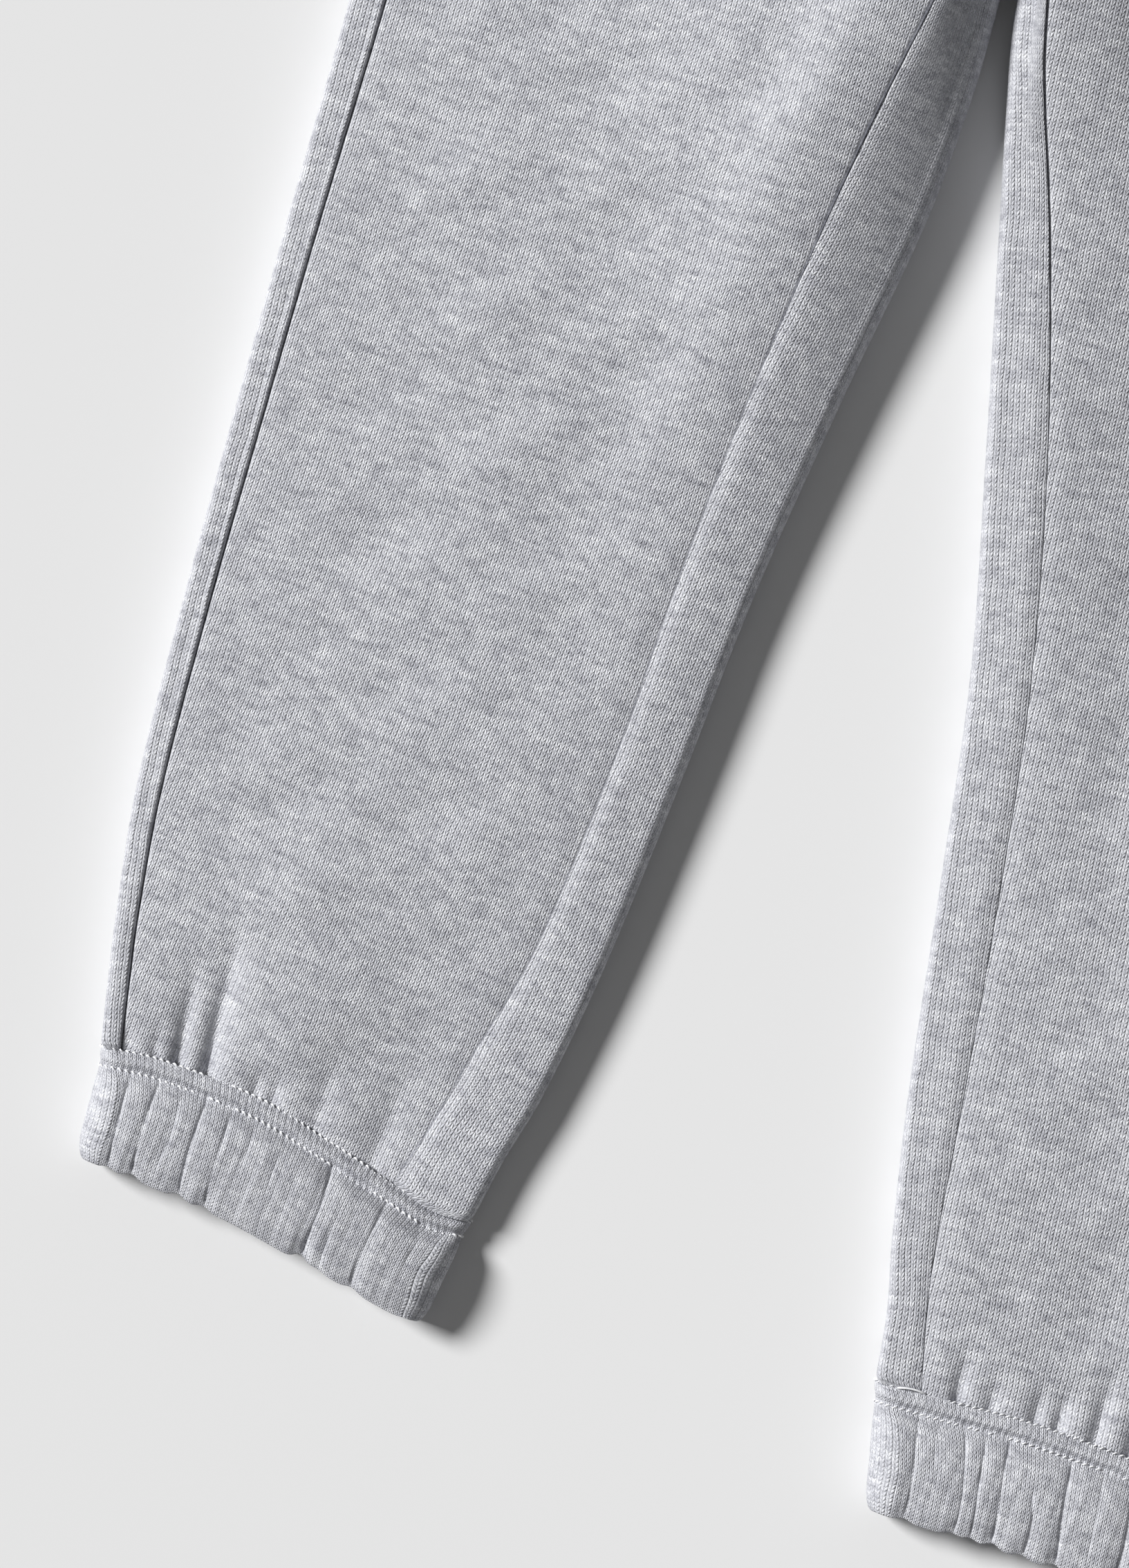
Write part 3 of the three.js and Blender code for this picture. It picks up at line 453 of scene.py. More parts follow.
def uneven(t, wave, seed):
    """Uneven waves along a seam: three sines whose lengths don't fit each other, together within 1."""
    a = np.sin(2 * math.pi * t / wave + seed)
    b = np.sin(2 * math.pi * t / (1.73 * wave) + 2.3 * seed + 1)
    c = np.sin(2 * math.pi * t / (0.61 * wave) + 3.1 * seed + 2)
    return 0.45 * a + 0.35 * b + 0.2 * c


def outseam_relief(distance, flat, along):
    """The back panel beside the outseam, which is pressed open: the cloth rolls down into the seam,
    with one rib along it between two fine lines."""
    rib = 0.1 * (1 + 0.3 * uneven(along, 9, 1)) * bell(distance - 1.1, 0.42)
    lines = -1.3 * bell(distance, 0.27) - 0.1 * bell(distance - 2.0, 0.3)
    roll = 0.15 * bell(distance - 1, 1.6)
    crown = 0.1 * np.sin(math.pi * np.clip(distance / (flat + 4), 0, 1))
    return rib + lines + roll + crown + 0.08 * uneven(along, 11, 2) * bell(distance - 1, 2)


def inseam_relief(distance, flat, along, up):
    """The back panel beside the inseam: its edge rises out of a soft valley, sharp at the thigh."""
    sharp = smoothstep(up, 0.62, 0.85)
    valley = -0.4 * (1 - 0.7 * sharp) * bell(distance, 2.3) - 0.1 * bell(distance, 0.3)
    swollen = 0.1 * bell(distance - 3, 2.2)
    crown = 0.35 * smoothstep(flat, 3, 14) * np.sin(math.pi * np.clip(distance / (flat + 4), 0, 1))
    return valley + swollen + crown + 0.1 * uneven(along, 13, 4) * bell(distance - 1, 3)


CUT_BREADTH = 120                # of the back under the garment, where its knit is drawn
COURSE = 1.1                     # height of a row of the knit
NEEDLE_DIP = 0.45                # how far a needle row draws the face in


def needle_line(leg, up):
    """The upper needle row of the hem, which draws the panels in at their edge."""
    rise = up * abs(leg["hem_in_y"])
    return NEEDLE_DIP * bell(rise, 1.3) + 0.4 * bell(rise, 0.7)


def back_panel(name, leg):
    """One back, as rows of points from the hem to the waist. A row runs from the outseam round the outer
    fold, straight along the underside, and round the inner fold to the inseam. Above the crotch it ends
    at the centre seam."""
    up = panel_rows(leg, leg_count=170, hip_count=76)[:, None]
    edge, out = outer_edge(leg, up), outward(outer_edge, leg, up)
    seam = edge + out * (SEAM_GAP / 2 - outseam_inset(leg, up))[..., None]
    flat = length(seam - edge) - FOLD_R
    half_turn = math.pi * FOLD_R
    near = np.array([0, 0.12, 0.26, 0.42, 0.6, 0.8, 1.0, 1.2, 1.45, 1.7, 1.95, 2.2, 2.6, 3.2])
    share = np.linspace(0, 1, 20)[1:]
    run = np.concatenate([near + 0 * flat, near[-1] + (flat + half_turn - near[-1]) * share], -1)
    seam_length = length(np.diff(seam, axis=0, prepend=seam[:1])).cumsum(0)
    relief = outseam_relief(run, flat, seam_length) - needle_line(leg, up)
    relief = relief * smoothstep(flat + half_turn - run, 0, 4)
    outer_side = side_points(edge, out, seam, TOP + swell(leg, up, 0 * up), run, relief, 1.2, 0.28)

    inner, inward = inner_edge(leg, np.minimum(up, 1)), outward(inner_edge, leg, np.minimum(up, 1))
    start = edge - out * FOLD_R
    end = np.where((up <= 1)[..., None], inner - inward * FOLD_R,
                   plan(leg["side"] * SEAM_GAP / 2, lerp(FOLD_R, WAIST_SEAM_Y, up - 1)))
    across = np.linspace(0, 1, 22)[1:]
    under = lerp(start, end, across[:, None])
    level = np.zeros(under.shape[:-1] + (1,))
    flat_side = (np.concatenate([under, level], -1), np.concatenate([under, level + CLOTH], -1))

    strip = seam_point(leg, np.minimum(up, 1), False)
    top = np.where(up <= 1, length(end - strip), 1)
    share = np.linspace(1, 0, 34)[1:]
    wrapped = np.concatenate([near[-1] + (top + half_turn - near[-1]) * share, near[::-1][1:] + 0 * top], -1)
    strip_length = length(np.diff(strip, axis=0, prepend=strip[:1])).cumsum(0)
    relief = inseam_relief(wrapped, top, strip_length, up) - needle_line(leg, up)
    relief = relief * smoothstep(top + half_turn - wrapped, 0, 4)
    bend = lerp(1.7, 1.15, smoothstep(up, 0.5, 0.85))
    seam_height = TOP + swell(leg, up, 0 * up + 1)
    inner_side = side_points(inner, inward, strip, seam_height, wrapped, relief, bend, leg["inner_corner"])

    outer_face, inner_face = (np.concatenate(parts, 1) for parts in zip(outer_side, flat_side, inner_side))
    # The columns of the knit run along both folds: the cloth is opened out to one breadth all along.
    length_across = length(np.diff(outer_face, axis=1, prepend=outer_face[:, :1])).cumsum(1)
    first, last = run.shape[1] - 1, run.shape[1] + under.shape[1] - 1
    u = np.concatenate([length_across[:, :first + 1] - length_across[:, first:first + 1],
                        CUT_BREADTH * across + 0 * up,
                        CUT_BREADTH + length_across[:, last + 1:] - length_across[:, last:last + 1]], -1)
    slope = -inward[..., 1] / np.where(abs(inward[..., 0]) < 0.3, 0.3, inward[..., 0])
    lean = slope.clip(-0.4, 0.4) * (up <= 1) * smoothstep(u, 0.7 * CUT_BREADTH, CUT_BREADTH)
    v = outer_face[..., 1] + lean * (outer_face[..., 0] - inner[..., 0])
    columns = np.arange(u.shape[1])
    there = (up <= 1) | (columns < run.shape[1] + under.shape[1])
    for face in (outer_face, inner_face):
        lift = hem_lift(leg, across_row(edge, np.where((up < 1)[..., None], inner, end), face[..., :2]), up)
        face[..., 1] += np.where(up < 1, lift, 0)
    return cloth_wall(name, outer_face, inner_face, plan(u, v), there)


def linear(hex_colour):
    """An sRGB hex colour as linear red, green, blue and 1."""
    srgb = np.array([int(hex_colour[i:i + 2], 16) / 255 for i in (1, 3, 5)])
    rgb = np.where(srgb <= 0.04045, srgb / 12.92, ((srgb + 0.055) / 1.055) ** 2.4)
    return (*rgb, 1)


def add_node(material, kind, settings=None, **inputs):
    """Adds a node, sets its settings, and sets or links its inputs: a name, or an index as _0."""
    node = material.node_tree.nodes.new(kind)
    for key, value in (settings or {}).items():
        setattr(node, key, value)
    for key, value in inputs.items():
        socket = node.inputs[int(key[1:])] if key[1:].isdigit() else node.inputs[key.replace("_", " ")]
        if isinstance(value, bpy.types.NodeSocket):
            material.node_tree.links.new(value, socket)
        else:
            socket.default_value = value
    return node


def fleece_jersey(name, wale, seed):
    """Heather grey fleece jersey, cotton with some polyester, knitted plain and brushed on the inside.

    Its face has columns of small V stitches, each column as wide as wale. Each course is one yarn of
    mixed white and grey fibres, so its tone runs in short streaks along the course. A little nap softens
    it, and there is no gloss. Lengths are in millimetres, as the UVs are."""
    material = bpy.data.materials.new(name)
    material.use_nodes = True
    material.node_tree.nodes.clear()

    def math_node(operation, a, b=0.0, c=0.0):
        settings = dict(operation=operation)
        return add_node(material, "ShaderNodeMath", settings, _0=a, _1=b, _2=c).outputs[0]

    uv = add_node(material, "ShaderNodeUVMap", dict(uv_map="cloth")).outputs[0]
    warp = add_node(material, "ShaderNodeTexNoise", dict(noise_dimensions="2D"),
                    Vector=uv, Scale=0.09, Detail=2.0)
    shift = add_node(material, "ShaderNodeVectorMath", dict(operation="MULTIPLY_ADD"),
                     _0=warp.outputs["Color"], _1=(0.9, 0.9, 0), _2=uv).outputs[0]
    split = add_node(material, "ShaderNodeSeparateXYZ", _0=shift)
    u, v = split.outputs[0], split.outputs[1]
    # a: 0 in the middle of a wale, 1 between two wales. The arms of a V rise by 0.6 of a course.
    a = math_node("MULTIPLY", math_node("ABSOLUTE", math_node("SUBTRACT", math_node(
        "FRACT", math_node("DIVIDE", u, wale)), 0.5)), 2.0)
    rise = math_node("MULTIPLY_ADD", a, -0.6, math_node("DIVIDE", v, COURSE))
    row = math_node("FLOOR", rise)
    phase = math_node("FRACT", rise)
    hump = math_node("SINE", math_node("MULTIPLY", phase, math.pi))
    groove = math_node("POWER", a, 5.0)
    middle = math_node("POWER", math_node("SUBTRACT", 1.0, a), 6.0)
    sides = math_node("SUBTRACT", 1.0, math_node("MULTIPLY", groove, 0.85))
    body = math_node("MULTIPLY_ADD", middle, -0.35, sides)
    stitch = math_node("MULTIPLY", math_node("MULTIPLY_ADD", hump, 0.55, 0.45), body)
    # the yarn's tone: noise along the course, and a fresh stretch of it for each course
    yarn_place = add_node(material, "ShaderNodeCombineXYZ", _0=math_node("DIVIDE", u, 4.2),
                          _1=math_node("MULTIPLY_ADD", row, 7.31, seed)).outputs[0]
    yarn = add_node(material, "ShaderNodeTexNoise", dict(noise_dimensions="2D"),
                    Vector=yarn_place, Scale=1.0, Detail=3.0, Roughness=0.65).outputs[0]
    cloud_place = add_node(material, "ShaderNodeMapping", dict(vector_type="POINT"),
                           Vector=uv, Location=(seed, 0, 0), Scale=(0.07, 0.34, 1)).outputs[0]
    cloud = add_node(material, "ShaderNodeTexNoise", dict(noise_dimensions="2D"),
                     Vector=cloud_place, Scale=1.0, Detail=3.0, Roughness=0.6).outputs[0]
    fibre = add_node(material, "ShaderNodeTexNoise", dict(noise_dimensions="2D"),
                     Vector=uv, Scale=2.2, Detail=2.0, Roughness=0.7).outputs[0]
    fine = math_node("MULTIPLY_ADD", cloud, 0.2, math_node("MULTIPLY", fibre, 0.38))
    tone = math_node("MULTIPLY_ADD", yarn, 0.42, fine)
    ramp = add_node(material, "ShaderNodeValToRGB", _0=tone)
    stops = ramp.color_ramp.elements
    stops[0].position, stops[0].color = 0.35, linear("#a4a5ad")
    stops[1].position, stops[1].color = 0.65, linear("#ecedf1")
    middle_stop = stops.new(0.5)
    middle_stop.color = linear("#cdced4")
    # Painted shade: the colour is darkened where the stitch is low, between wales, between courses and down
    # the middle of each V, for the shade that falls in those grooves.
    painted_groove_shade = math_node("MULTIPLY_ADD", stitch, 0.24, 0.8)
    colour = add_node(material, "ShaderNodeMix", dict(data_type="RGBA", blend_type="MULTIPLY"), _0=1.0,
                      _6=ramp.outputs[0], _7=painted_groove_shade).outputs[2]
    height = math_node("MULTIPLY_ADD", fibre, 0.6, stitch)
    bump = add_node(material, "ShaderNodeBump", Height=height, Strength=0.8, Distance=0.00047).outputs[0]
    shader = add_node(material, "ShaderNodeBsdfPrincipled", Base_Color=colour, Normal=bump, Roughness=0.92,
                      IOR=1.47, Specular_IOR_Level=0.25, Sheen_Weight=0.05, Sheen_Roughness=0.5)
    add_node(material, "ShaderNodeOutputMaterial", Surface=shader.outputs[0])
    return material


for name, leg, cut_area in (("right_back", RIGHT_LEG, 0.083), ("left_back", LEFT_LEG, 0.085)):
    back = back_panel(name + "_cloth", leg)
    back.data.materials.append(fleece_jersey(name + " fleece jersey", 1.42, leg["side"] * 3.7 + 11))
    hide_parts(name)
    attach(back, "root")


# Front panels
# Each is the front of one leg and half of the hip, cut from the same fleece jersey and overlocked to
# the back at the outseam and the inseam, and to its pair at the centre. They lie on the backs.
WAIST_WIDTH = 2 * HIP["out"][-1]
WAIST_GATHER_COUNT = 22
order = np.arange(WAIST_GATHER_COUNT)
WAIST_GATHERS = dict(
    across=(order + 0.5 + 0.24 * np.sin(2.1 * order + 0.7)) / WAIST_GATHER_COUNT,
    depth=1.7 + 0.8 * np.sin(1.7 * order + 0.4),
    half=0 * order + 1.5,
    start=0 * order + 0.16,
    stop=1 - 0.25 * np.maximum(np.sin(2.9 * order), 0),
    reach=22 + 14 * np.sin(1.3 * order + 2),
)


def hem_folds(leg, across, up, width):
    """Soft folds over a hem. Each is a bell across the leg that widens and fades as it climbs."""
    rise = up * abs(leg["hem_in_y"])
    depth = 0
    for place, deep, half, reach in zip(*leg["folds"].values()):
        off = (across - place) * width / (half * (1 + rise / reach))
        crease = 0.7 * np.exp(-off ** 2) + 0.6 * np.exp(-2.6 * abs(off) ** 1.2)
        depth = depth + 1.3 * deep * crease * (1 - smoothstep(rise, 0.25 * reach, 1.1 * reach))
    return depth


def waist_folds(x, below):
    """The folds that the gathered waistband sends down the hip, as bells that widen and fade."""
    depth = 0
    for place, deep, reach in zip(*(WAIST_GATHERS[key] for key in ("across", "depth", "reach"))):
        off = (x - (place - 0.5) * WAIST_WIDTH) / (2.2 * (1 + below / reach))
        depth = depth + 0.65 * deep * np.exp(-off ** 2) * (1 - smoothstep(below, 0.15 * reach, 1.3 * reach))
    return depth


def soft_waves(p, seed):
    """Soft unevenness of cloth that lies loose: crossed sines, 17 to 60 mm long and 0.1 to 0.3 mm high."""
    x, y = p[..., 0], p[..., 1]
    total = 0
    waves = table("long turn high", (60, 0.3, 0.3), (34, 1.9, 0.2), (27, 2.7, 0.16), (21, 0.9, 0.12),
                  (17, 2.2, 0.1))
    for long, turn, high in zip(*waves.values()):
        run = x * math.cos(turn) + y * math.sin(turn)
        total = total + high * np.sin(run * 2 * math.pi / long + seed * long)
    return total


def front_relief(leg, p, across, up, from_outseam, from_inseam, width):
    """Height of the front's face over the plain wall: rolled seams, soft folds and waves."""
    side = leg["side"]
    sharp = smoothstep(up, 0.62, 0.85) * (1 - smoothstep(up, 1, 1.1))
    sunk = -1.3 * bell(from_outseam, 0.3) - (0.25 + 1.3 * sharp) * bell(from_inseam, 0.3 + 0.2 * sharp)
    dip = -0.15 * bell(from_outseam, 2.2) - 0.55 * bell(from_inseam, 2.8)
    pucker = 0.1 * (uneven(p[..., 1], 9, side) * bell(from_outseam, 2.2)
                    + uneven(p[..., 1], 11, side + 2) * bell(from_inseam, 3))
    inside = smoothstep(np.minimum(from_outseam, from_inseam), 4, 30)
    wave = soft_waves(p, side) * inside
    folds = hem_folds(leg, across, up, width) + waist_folds(p[..., 0], WAIST_SEAM_Y - p[..., 1])
    share = from_outseam / (from_outseam + from_inseam)
    return swell(leg, up, share) + sunk + dip + pucker + wave - needle_line(leg, up) - folds


def front_panel(name, leg, grain):
    """One front, as rows of points from the outseam to the inseam or the centre seam: a level face plus
    its relief, and the inner face one cloth below it. Its knit follows the grain line."""
    up = panel_rows(leg, leg_count=196, hip_count=86)[:, None]
    edge, out = outer_edge(leg, up), outward(outer_edge, leg, up)
    start = edge - out * (outseam_inset(leg, up) + SEAM_GAP / 2)[..., None]
    end = seam_point(leg, up, True)
    inner = np.where((up < 1)[..., None], inner_edge(leg, up), end)
    span = length(end - start)
    fixed, part = seam_columns(middle=104)
    run = fixed + part * span
    place = lerp(start, end, (run / span)[..., None])
    across = across_row(edge, inner, place)
    relief = front_relief(leg, place, across, up, run, span - run, length(edge - inner))
    place[..., 1] += hem_lift(leg, across, up)
    outer = np.concatenate([place, TOP + relief[..., None]], -1)
    inner_face = outer - (0, 0, CLOTH)
    line = curve(grain, "y", "x", place[..., 1])
    lean = curve(grain, "y", "x", place[..., 1] + 1) - line
    uv = plan(place[..., 0] - line, place[..., 1] + lean * (place[..., 0] - line))
    return cloth_wall(name, outer, inner_face, uv)


RIGHT_GRAIN = table("y x", (-345, -112), (-250, -98), (-150, -87), (0, -78), (170, -72))
LEFT_GRAIN = table("y x", (-360, 92), (-250, 89), (-150, 87), (0, 84), (170, 78))
FRONTS = (("right_front", RIGHT_LEG, RIGHT_GRAIN, 1.24), ("left_front", LEFT_LEG, LEFT_GRAIN, 1.45))
for name, leg, grain, wale in FRONTS:
    front = front_panel(name + "_cloth", leg, grain)
    front.data.materials.append(fleece_jersey(name + " fleece jersey", wale, leg["side"] * 5.3 + 31))
    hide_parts(name)
    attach(front, "root")


# Hem casings
# The bottom of each leg is turned up over elastic and held by two needle rows. The elastic draws the
# double cloth into upright gathers, deep and shallow, and the bottom fold is wavy between them.
STITCH = 1.8                     # length of a stitch
NEEDLE_ROWS_APART = 4.4
TUCK = 0.3                       # how far the casing's edge goes in under the panels
THREAD = 0.5                     # thickness of the sewing thread
NEEDLE_LINES = (0, 20)           # rows of the casing's points that the needle rows lie on
CASING_SECTION = table(
    "step along half mid face",
    (0, 0.00, 4.3, 4.3, 1),
    (1, 0.08, 5.15, 5.15, 1),
    (2, 0.16, 4.6, 4.6, 1),
    (3, 0.30, 6.4, 6.4, 1),
    (4, 0.56, 7.2, 7.2, 1),
    (5, 0.82, 6.9, 6.9, 1),
    (6, 0.95, 5.8, 6.7, 1),
    (7, 1.00, 4.3, 6.6, 0),
    (8, 0.95, 2.9, 6.7, 0),
    (9, 0.82, 1.8, 6.9, 0),
    (10, 0.45, 1.8, 6.9, 0),
    (11, 0.16, 1.8, 4.6, 0),
    (12, 0.00, 1.7, 4.3, 0),
)


def gather_depth(gathers, across, along, width):
    """Depth of the gathers. Each is a wide soft bell with a narrow crease in it; it bows a little, and
    some of them all but close in their middle."""
    depth = 0
    columns = zip(*(gathers[key] for key in ("across", "depth", "half", "start", "stop")))
    for k, (place, deep, half, start, stop) in enumerate(columns):
        share = np.clip((along - start) / (stop - start), 0, 1)
        bow = 0.8 * math.sin(2.3 * k + 1) * np.sin(math.pi * share) + 0.7 * math.sin(1.7 * k) * (share - 0.5)
        off = (across - place) * width - bow
        crease = 0.42 * np.exp(-(off / (1.9 * half)) ** 2) + 0.4 * np.exp(-(abs(off) / 0.42) ** 1.3)
        here = smoothstep(along, start - 0.1, start + 0.1) * (1 - smoothstep(along, stop - 0.1, stop + 0.12))
        weak = 1 - (0.35 + 0.3 * math.sin(4.1 * k)) * np.sin(math.pi * share) ** 2
        depth = depth + 0.8 * deep * crease * here * weak
    return depth


def bottom_notch(gathers, across, width):
    """How far the bottom fold is drawn up at the gathers that reach it, so that it bellies between them."""
    total = 0
    for place, deep, stop in zip(*(gathers[key] for key in ("across", "depth", "stop"))):
        total = total + 0.55 * deep * bell((across - place) * width, 2.2) * (stop > 0.85)
    return total


def casing(name, ends, gathers, lift, columns, seed, slump=0):
    """A ring of double cloth, laid flat: the closed section is carried over the top from the outer end
    to the inner end, round it, and back along the underside. The top sinks by slump to its inner end."""
    steps = np.concatenate([np.linspace(0, 7, 71), np.linspace(7, 12, 22)[1:]])
    names = ("along", "half", "mid", "face")
    along, half, mid, face = (curve(CASING_SECTION, "step", key, steps) for key in names)
    top, sides, under = columns, 12, 40
    turn = math.pi / 2 - np.arange(1, sides) * math.pi / sides
    across = [np.linspace(0, 1, top), np.ones(sides - 1), np.linspace(1, 0, under), np.zeros(sides - 1)]
    across = np.concatenate(across)
    angle = np.concatenate([np.full(top, math.pi / 2), turn, np.full(under, -math.pi / 2), -turn])
    outer, inner = ends(along)
    out = unit(outer - inner)
    place = lerp(outer - out * mid[:, None], inner + out * mid[:, None], across[:, None, None])
    width = length(outer - inner)
    spot = across_row(outer, inner, place)
    groove = face * gather_depth(gathers, spot, along, width) * np.maximum(np.sin(angle), 0)[:, None]
    fine = 0.13 * uneven(spot * width + 1.2 * np.sin(5 * along + seed), 3.3, seed)
    puff = (0.3 * uneven(spot * width, 17, seed) + fine) * smoothstep(along, 0.2, 0.45) * face
    puff = puff * np.sin(angle)[:, None].clip(0)
    rise = length(ends(1)[0] - ends(0)[0]) * along
    needle = bell(rise, 1.3) + bell(rise - NEEDLE_ROWS_APART, 1.3)
    between = bell(rise - NEEDLE_ROWS_APART / 2, 1.6)
    ripple = np.sin(2 * math.pi * spot * width / STITCH) * (0.12 * needle + 0.05 * between)
    drawn = NEEDLE_DIP * (bell(rise, 1.1) + 0.7 * bell(rise - NEEDLE_ROWS_APART, 0.9))
    sunk = slump * smoothstep(spot, 0.76, 1.02) ** 1.5
    on_top = face * np.maximum(np.sin(angle), 0)[:, None]
    size = half - groove + puff + (ripple - drawn - sunk) * on_top
    sign = np.where(across == 0, 1, -1)[:, None]
    place = place + out * (sign * size * np.cos(angle)[:, None])[..., None]
    down = unit(ends(1)[0] - ends(0)[0])
    notch = bottom_notch(gathers, spot, width) * smoothstep(along, 0.55, 1)
    place = place - down * notch[..., None]
    place[..., 1] += lift(across_row(outer, inner, place), along)
    height = np.maximum(mid + size * np.sin(angle)[:, None], 0)
    points = np.concatenate([place, height[..., None]], -1)
    around, section = points.shape[:2]
    i, j = np.meshgrid(np.arange(around), np.arange(section), indexing="ij")
    corners = [(i, j), (i + 1, j), (i + 1, j + 1), (i, j + 1)]
    quads = np.stack([(a % around) * section + b % section for a, b in corners], -1).reshape(-1, 4)
    grown = np.concatenate([points, points[:1]], 0)
    u = np.concatenate([[0], length(np.diff(grown[:, NEEDLE_LINES[1]], axis=0)).cumsum()])
    grown = np.concatenate([points, points[:, :1]], 1)
    v = np.concatenate([[0], length(np.diff(grown[top // 2], axis=0)).cumsum()])
    uv = np.stack([plan(1.2 * u[a], -v[b]) for a, b in corners], -2).reshape(-1, 4, 2)
    return add_mesh(name, points.reshape(-1, 3), quads, uv), points


def casing_lift(leg):
    """The casing follows the curved stitching, less towards its bottom fold."""
    def lift(across, along):
        return hem_lift(leg, across, 0) * (1 - 0.55 * along)
    return lift


def hem_ends(leg):
    """Outer and inner end of a hem casing, along it from the stitching to the bottom fold."""
    def ends(along):
        pinch = 1.2 * smoothstep(along, 0.02, 0.16)
        taper = 3.4 * smoothstep(along, 0.1, 1)
        rows = leg["rows"]
        outer = plan(leg["side"] * (rows["out"][0] - 0.6 * pinch),
                     lerp(leg["hem_out_y"] + TUCK, leg["casing_out_y"], along))
        inner = plan(leg["side"] * (rows["in"][0] + pinch + taper),
                     lerp(leg["hem_in_y"] + TUCK, leg["casing_in_y"], along))
        return outer, inner
    return ends


def on_ring(grid, run, t):
    """Places on a closed ring of points, at the lengths t along it, where run has its points' lengths."""
    ring = np.concatenate([grid, grid[:1]])
    return np.stack([np.interp(t, run, ring[:, k]) for k in range(3)], -1)


def tube_cells(rings, sides):
    """Quads round a tube of rings of points."""
    i, j = np.meshgrid(np.arange(rings - 1), np.arange(sides), indexing="ij")
    after = (j + 1) % sides
    cells = [i * sides + j, i * sides + after, (i + 1) * sides + after, (i + 1) * sides + j]
    return np.stack(cells, -1).reshape(-1, 4)


def needle_rows(name, points):
    """Two needle rows round a casing. Each stitch is a short arc of thread, thickest in its middle, that
    dips into the cloth at both ends and lies a little askew to its row."""
    parts = []
    for line in NEEDLE_LINES:
        row, beside = points[:, line], points[:, line + 2] - points[:, line]
        loop = np.concatenate([row, row[:1]])
        run = np.concatenate([[0], length(np.diff(loop, axis=0)).cumsum()])
        count = int(run[-1] / STITCH)
        at = (np.arange(count) + 0.5) / count * run[-1]
        centre = on_ring(row, run, at)
        after = on_ring(row, run, np.minimum(at + 0.5, run[-1]))
        ahead = unit(after - on_ring(row, run, np.maximum(at - 0.5, 0)))
        side = on_ring(beside, run, at)
        side = unit(side - ahead * (side * ahead).sum(-1)[:, None])
        over = np.cross(ahead, side)
        over = over * np.sign((over * (centre - row.mean(0))).sum(-1))[:, None]
        t = np.linspace(0, 1, 8)[None, :, None, None]
        turn = np.arange(6)[None, None, :, None] * math.pi / 3
        askew = 0.42 + 0.06 * np.sin(2.7 * np.arange(count))[:, None, None, None]
        long = ahead[:, None, None] * (1.45 * (t - 0.5)) + side[:, None, None] * (askew * 1.45 * (t - 0.5))
        rise = over[:, None, None] * (0.4 * np.sin(math.pi * t) - 0.08)
        thick = THREAD / 2 * (0.25 + 0.85 * np.sin(math.pi * t) ** 0.6)
        tube = thick * (np.cos(turn) * side[:, None, None] + np.sin(turn) * over[:, None, None])
        parts.append((centre[:, None, None] + long + rise + tube).reshape(count, -1, 3))
    points = np.concatenate(parts)
    cells = tube_cells(8, 6)
    caps = np.array([(3, 2, 1, 0), (5, 4, 3, 0), (42, 43, 44, 45), (42, 45, 46, 47)])
    quads = np.concatenate([cells, caps])
    quads = (quads + np.arange(len(points))[:, None, None] * points.shape[1]).reshape(-1, 4)
    points = points.reshape(-1, 3)
    points[:, 2] = np.maximum(points[:, 2], 0)
    rows = add_mesh(name, points, quads, np.zeros((len(quads), 4, 2)))
    rows.data.materials.append(SEWING_THREAD)
    return rows


def spun_thread(name):
    """Spun polyester sewing thread, off-white. It is matt, with a soft sheen from its fine fibres."""
    material = bpy.data.materials.new(name)
    material.use_nodes = True
    material.node_tree.nodes.clear()
    place = add_node(material, "ShaderNodeTexCoord").outputs["Object"]
    noise = add_node(material, "ShaderNodeTexNoise", Vector=place, Scale=3500.0, Detail=2.0).outputs[0]
    ramp = add_node(material, "ShaderNodeValToRGB", _0=noise)
    ramp.color_ramp.elements[0].position, ramp.color_ramp.elements[0].color = 0.3, linear("#dcdde1")
    ramp.color_ramp.elements[1].position, ramp.color_ramp.elements[1].color = 0.7, linear("#f8f8f9")
    bump = add_node(material, "ShaderNodeBump", Height=noise, Strength=0.5, Distance=0.00006).outputs[0]
    shader = add_node(material, "ShaderNodeBsdfPrincipled", Base_Color=ramp.outputs[0], Normal=bump,
                      Roughness=0.7, IOR=1.55, Sheen_Weight=0.2)
    add_node(material, "ShaderNodeOutputMaterial", Surface=shader.outputs[0])
    return material


SEWING_THREAD = spun_thread("spun polyester thread")
for name, leg in (("right_hem_casing", RIGHT_LEG), ("left_hem_casing", LEFT_LEG)):
    hem, hem_points = casing(name + "_cloth", hem_ends(leg), leg["gathers"], casing_lift(leg), columns=400,
                             seed=leg["side"] * 2 + 5, slump=leg["slump"])
    hem.data.materials.append(fleece_jersey(name + " fleece jersey", 1.3, leg["side"] * 7.1 + 51))
    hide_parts(name)
    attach(hem, "root")
    thread = needle_rows(name + "_stitches", hem_points)
    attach(thread, "root")


# Loose stitch
# One long float of the same spun thread lies on the left casing, where the needle skipped. It runs in
# a low arc over the cloth, and both ends go back into the needle row.
float_ends = np.array([(60.8, -348.4), (67.9, -348.1)])
t = np.linspace(0, 1, 24)
route = plan(lerp(float_ends[0, 0], float_ends[1, 0], t), lerp(float_ends[0, 1], float_ends[1, 1], t))
route[:, 1] += 0.5 * np.sin(math.pi * t)
upper = hem_points[hem_points[..., 2] > 6]
nearest = length(route[:, None] - upper[None, :, :2]).argsort(1)[:, :6]
bed = upper[nearest, 2].max(1).max()
height = bed + 0.15 + 0.35 * np.sin(math.pi * t) - 0.5 * abs(2 * t - 1) ** 6
route = np.concatenate([route, height[:, None]], -1)
turn = np.arange(8) * math.pi / 4
ring = np.stack([0 * turn, np.cos(turn), np.sin(turn)], -1) * THREAD / 2
tube = route[:, None] + ring
cells = tube_cells(24, 8)
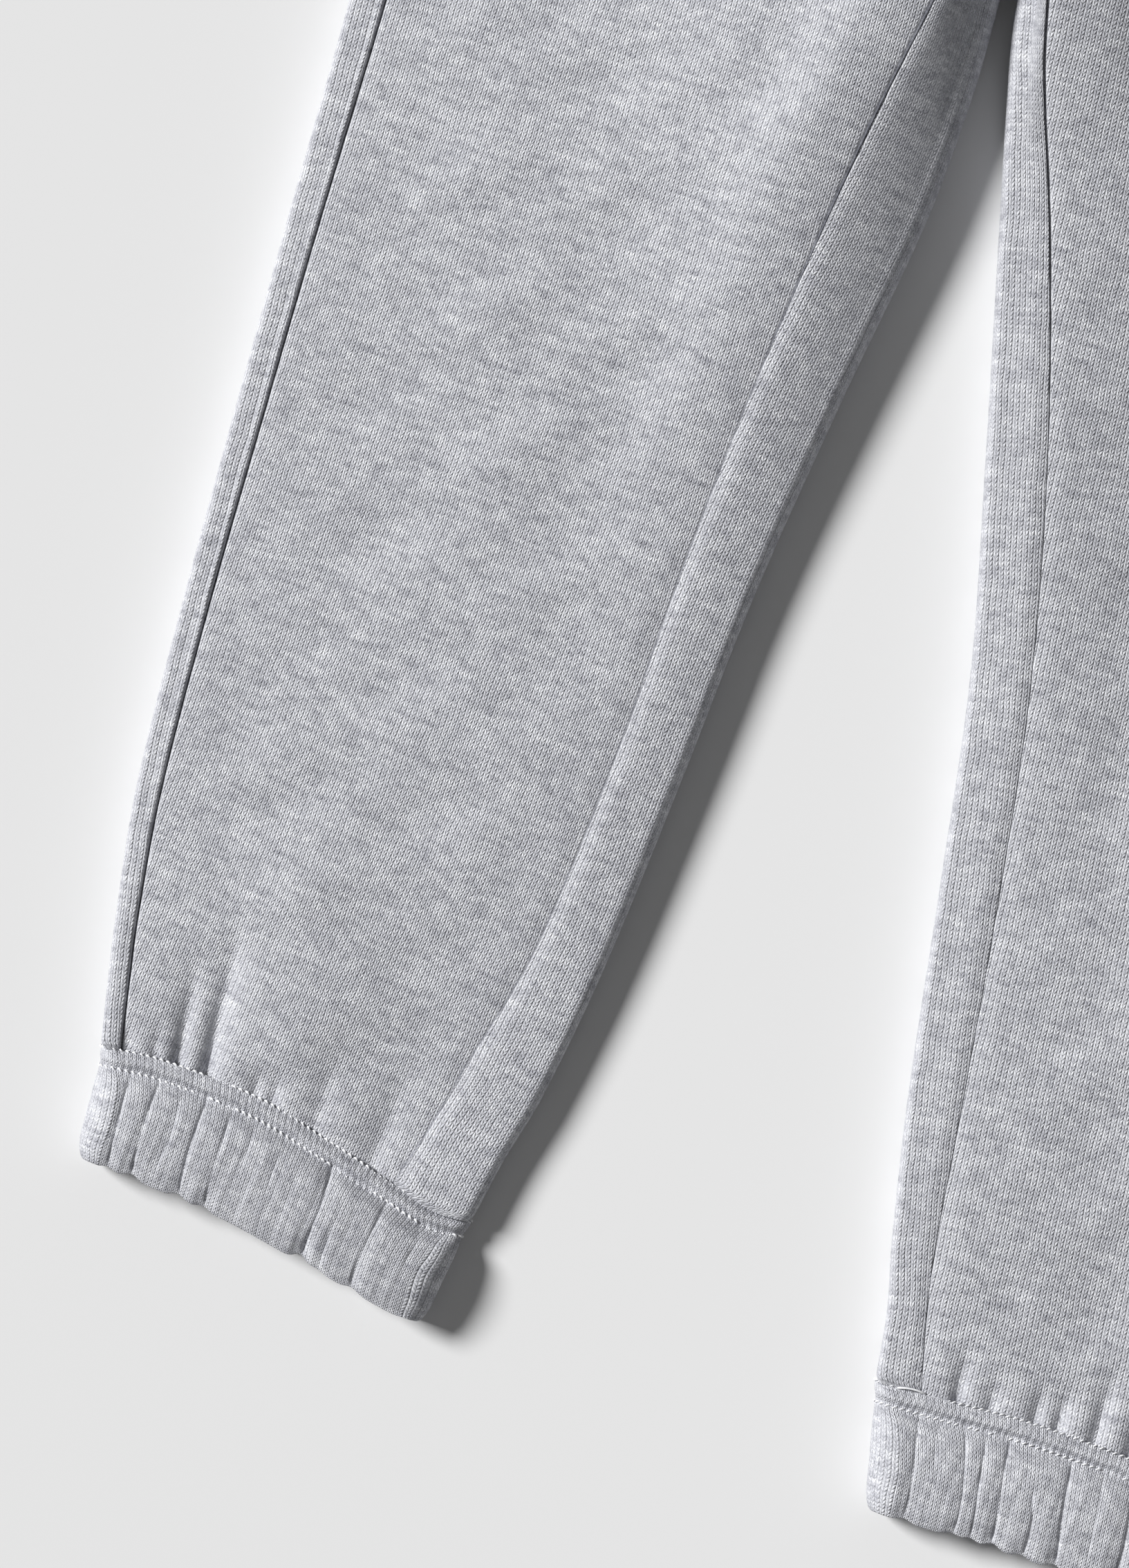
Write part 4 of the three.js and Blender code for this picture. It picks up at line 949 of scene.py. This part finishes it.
loose = add_mesh("left_hem_loose_stitch", tube.reshape(-1, 3), cells, np.zeros((len(cells), 4, 2)))
loose.data.materials.append(SEWING_THREAD)
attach(loose, "root")


# Waistband
# The top of the body is turned over a wide elastic and stitched down in the same way as the hems, as
# one ring of double cloth round both halves.
WAIST_TOP_Y = 197


def waist_ends(along):
    """Right and left end of the waistband, along it from the stitching to the top fold."""
    x = WAIST_WIDTH / 2 - 4.5 * smoothstep(along, 0, 0.4)
    y = lerp(WAIST_SEAM_Y - TUCK, WAIST_TOP_Y, along)
    return plan(-x, y), plan(x, y)


def waist_lift(across, along):
    """The waistband's stitching is straight."""
    return 0


band, band_points = casing("waistband_cloth", waist_ends, WAIST_GATHERS, waist_lift, columns=560, seed=9)
band.data.materials.append(fleece_jersey("waistband fleece jersey", 1.3, 71))
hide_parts("waistband")
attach(band, "root")
band_thread = needle_rows("waistband_stitches", band_points)
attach(band_thread, "root")


# Floor and light
# A plain pale sheet of matt paper lies flat under the garment. One soft lamp stands low at the upper left,
# and the room gives an even fill.
FLOOR_SIZE = 4000
LAMP_HEIGHT = 36                 # degrees over the floor
LAMP_TRAVEL = (0.965, -0.263)    # its light runs along the floor this way
LAMP_SPREAD = 17                 # degrees
LAMP_STRENGTH = 4.38
ROOM_STRENGTH = 0.137
floor_mesh = bpy.data.meshes.new("floor")
corner = FLOOR_SIZE / 2 * MM
floor_corners = [(-corner, -corner, 0), (corner, -corner, 0), (corner, corner, 0), (-corner, corner, 0)]
floor_mesh.from_pydata(floor_corners, [], [(0, 1, 2, 3)])
floor = bpy.data.objects.new("floor", floor_mesh)
bpy.context.scene.collection.objects.link(floor)
paper = bpy.data.materials.new("matt white paper")
paper.use_nodes = True
paper.node_tree.nodes.clear()
paper_shader = add_node(paper, "ShaderNodeBsdfPrincipled", Base_Color=linear("#e9e9e9"), Roughness=1.0,
                        Specular_IOR_Level=0.0)
add_node(paper, "ShaderNodeOutputMaterial", Surface=paper_shader.outputs[0])
floor_mesh.materials.append(paper)

lamp_data = bpy.data.lights.new("lamp", "SUN")
lamp_data.energy = LAMP_STRENGTH
lamp_data.angle = math.radians(LAMP_SPREAD)
lamp = bpy.data.objects.new("lamp", lamp_data)
level = math.cos(math.radians(LAMP_HEIGHT))
travel = Vector((LAMP_TRAVEL[0] * level, LAMP_TRAVEL[1] * level, -math.sin(math.radians(LAMP_HEIGHT))))
lamp.rotation_euler = travel.to_track_quat("-Z", "Y").to_euler()
bpy.context.scene.collection.objects.link(lamp)
room = bpy.data.worlds.new("room")
room.use_nodes = True
room.node_tree.nodes["Background"].inputs["Color"].default_value = linear("#ffffff")
room.node_tree.nodes["Background"].inputs["Strength"].default_value = ROOM_STRENGTH
bpy.context.scene.world = room
bpy.context.scene.view_settings.view_transform = "Standard"
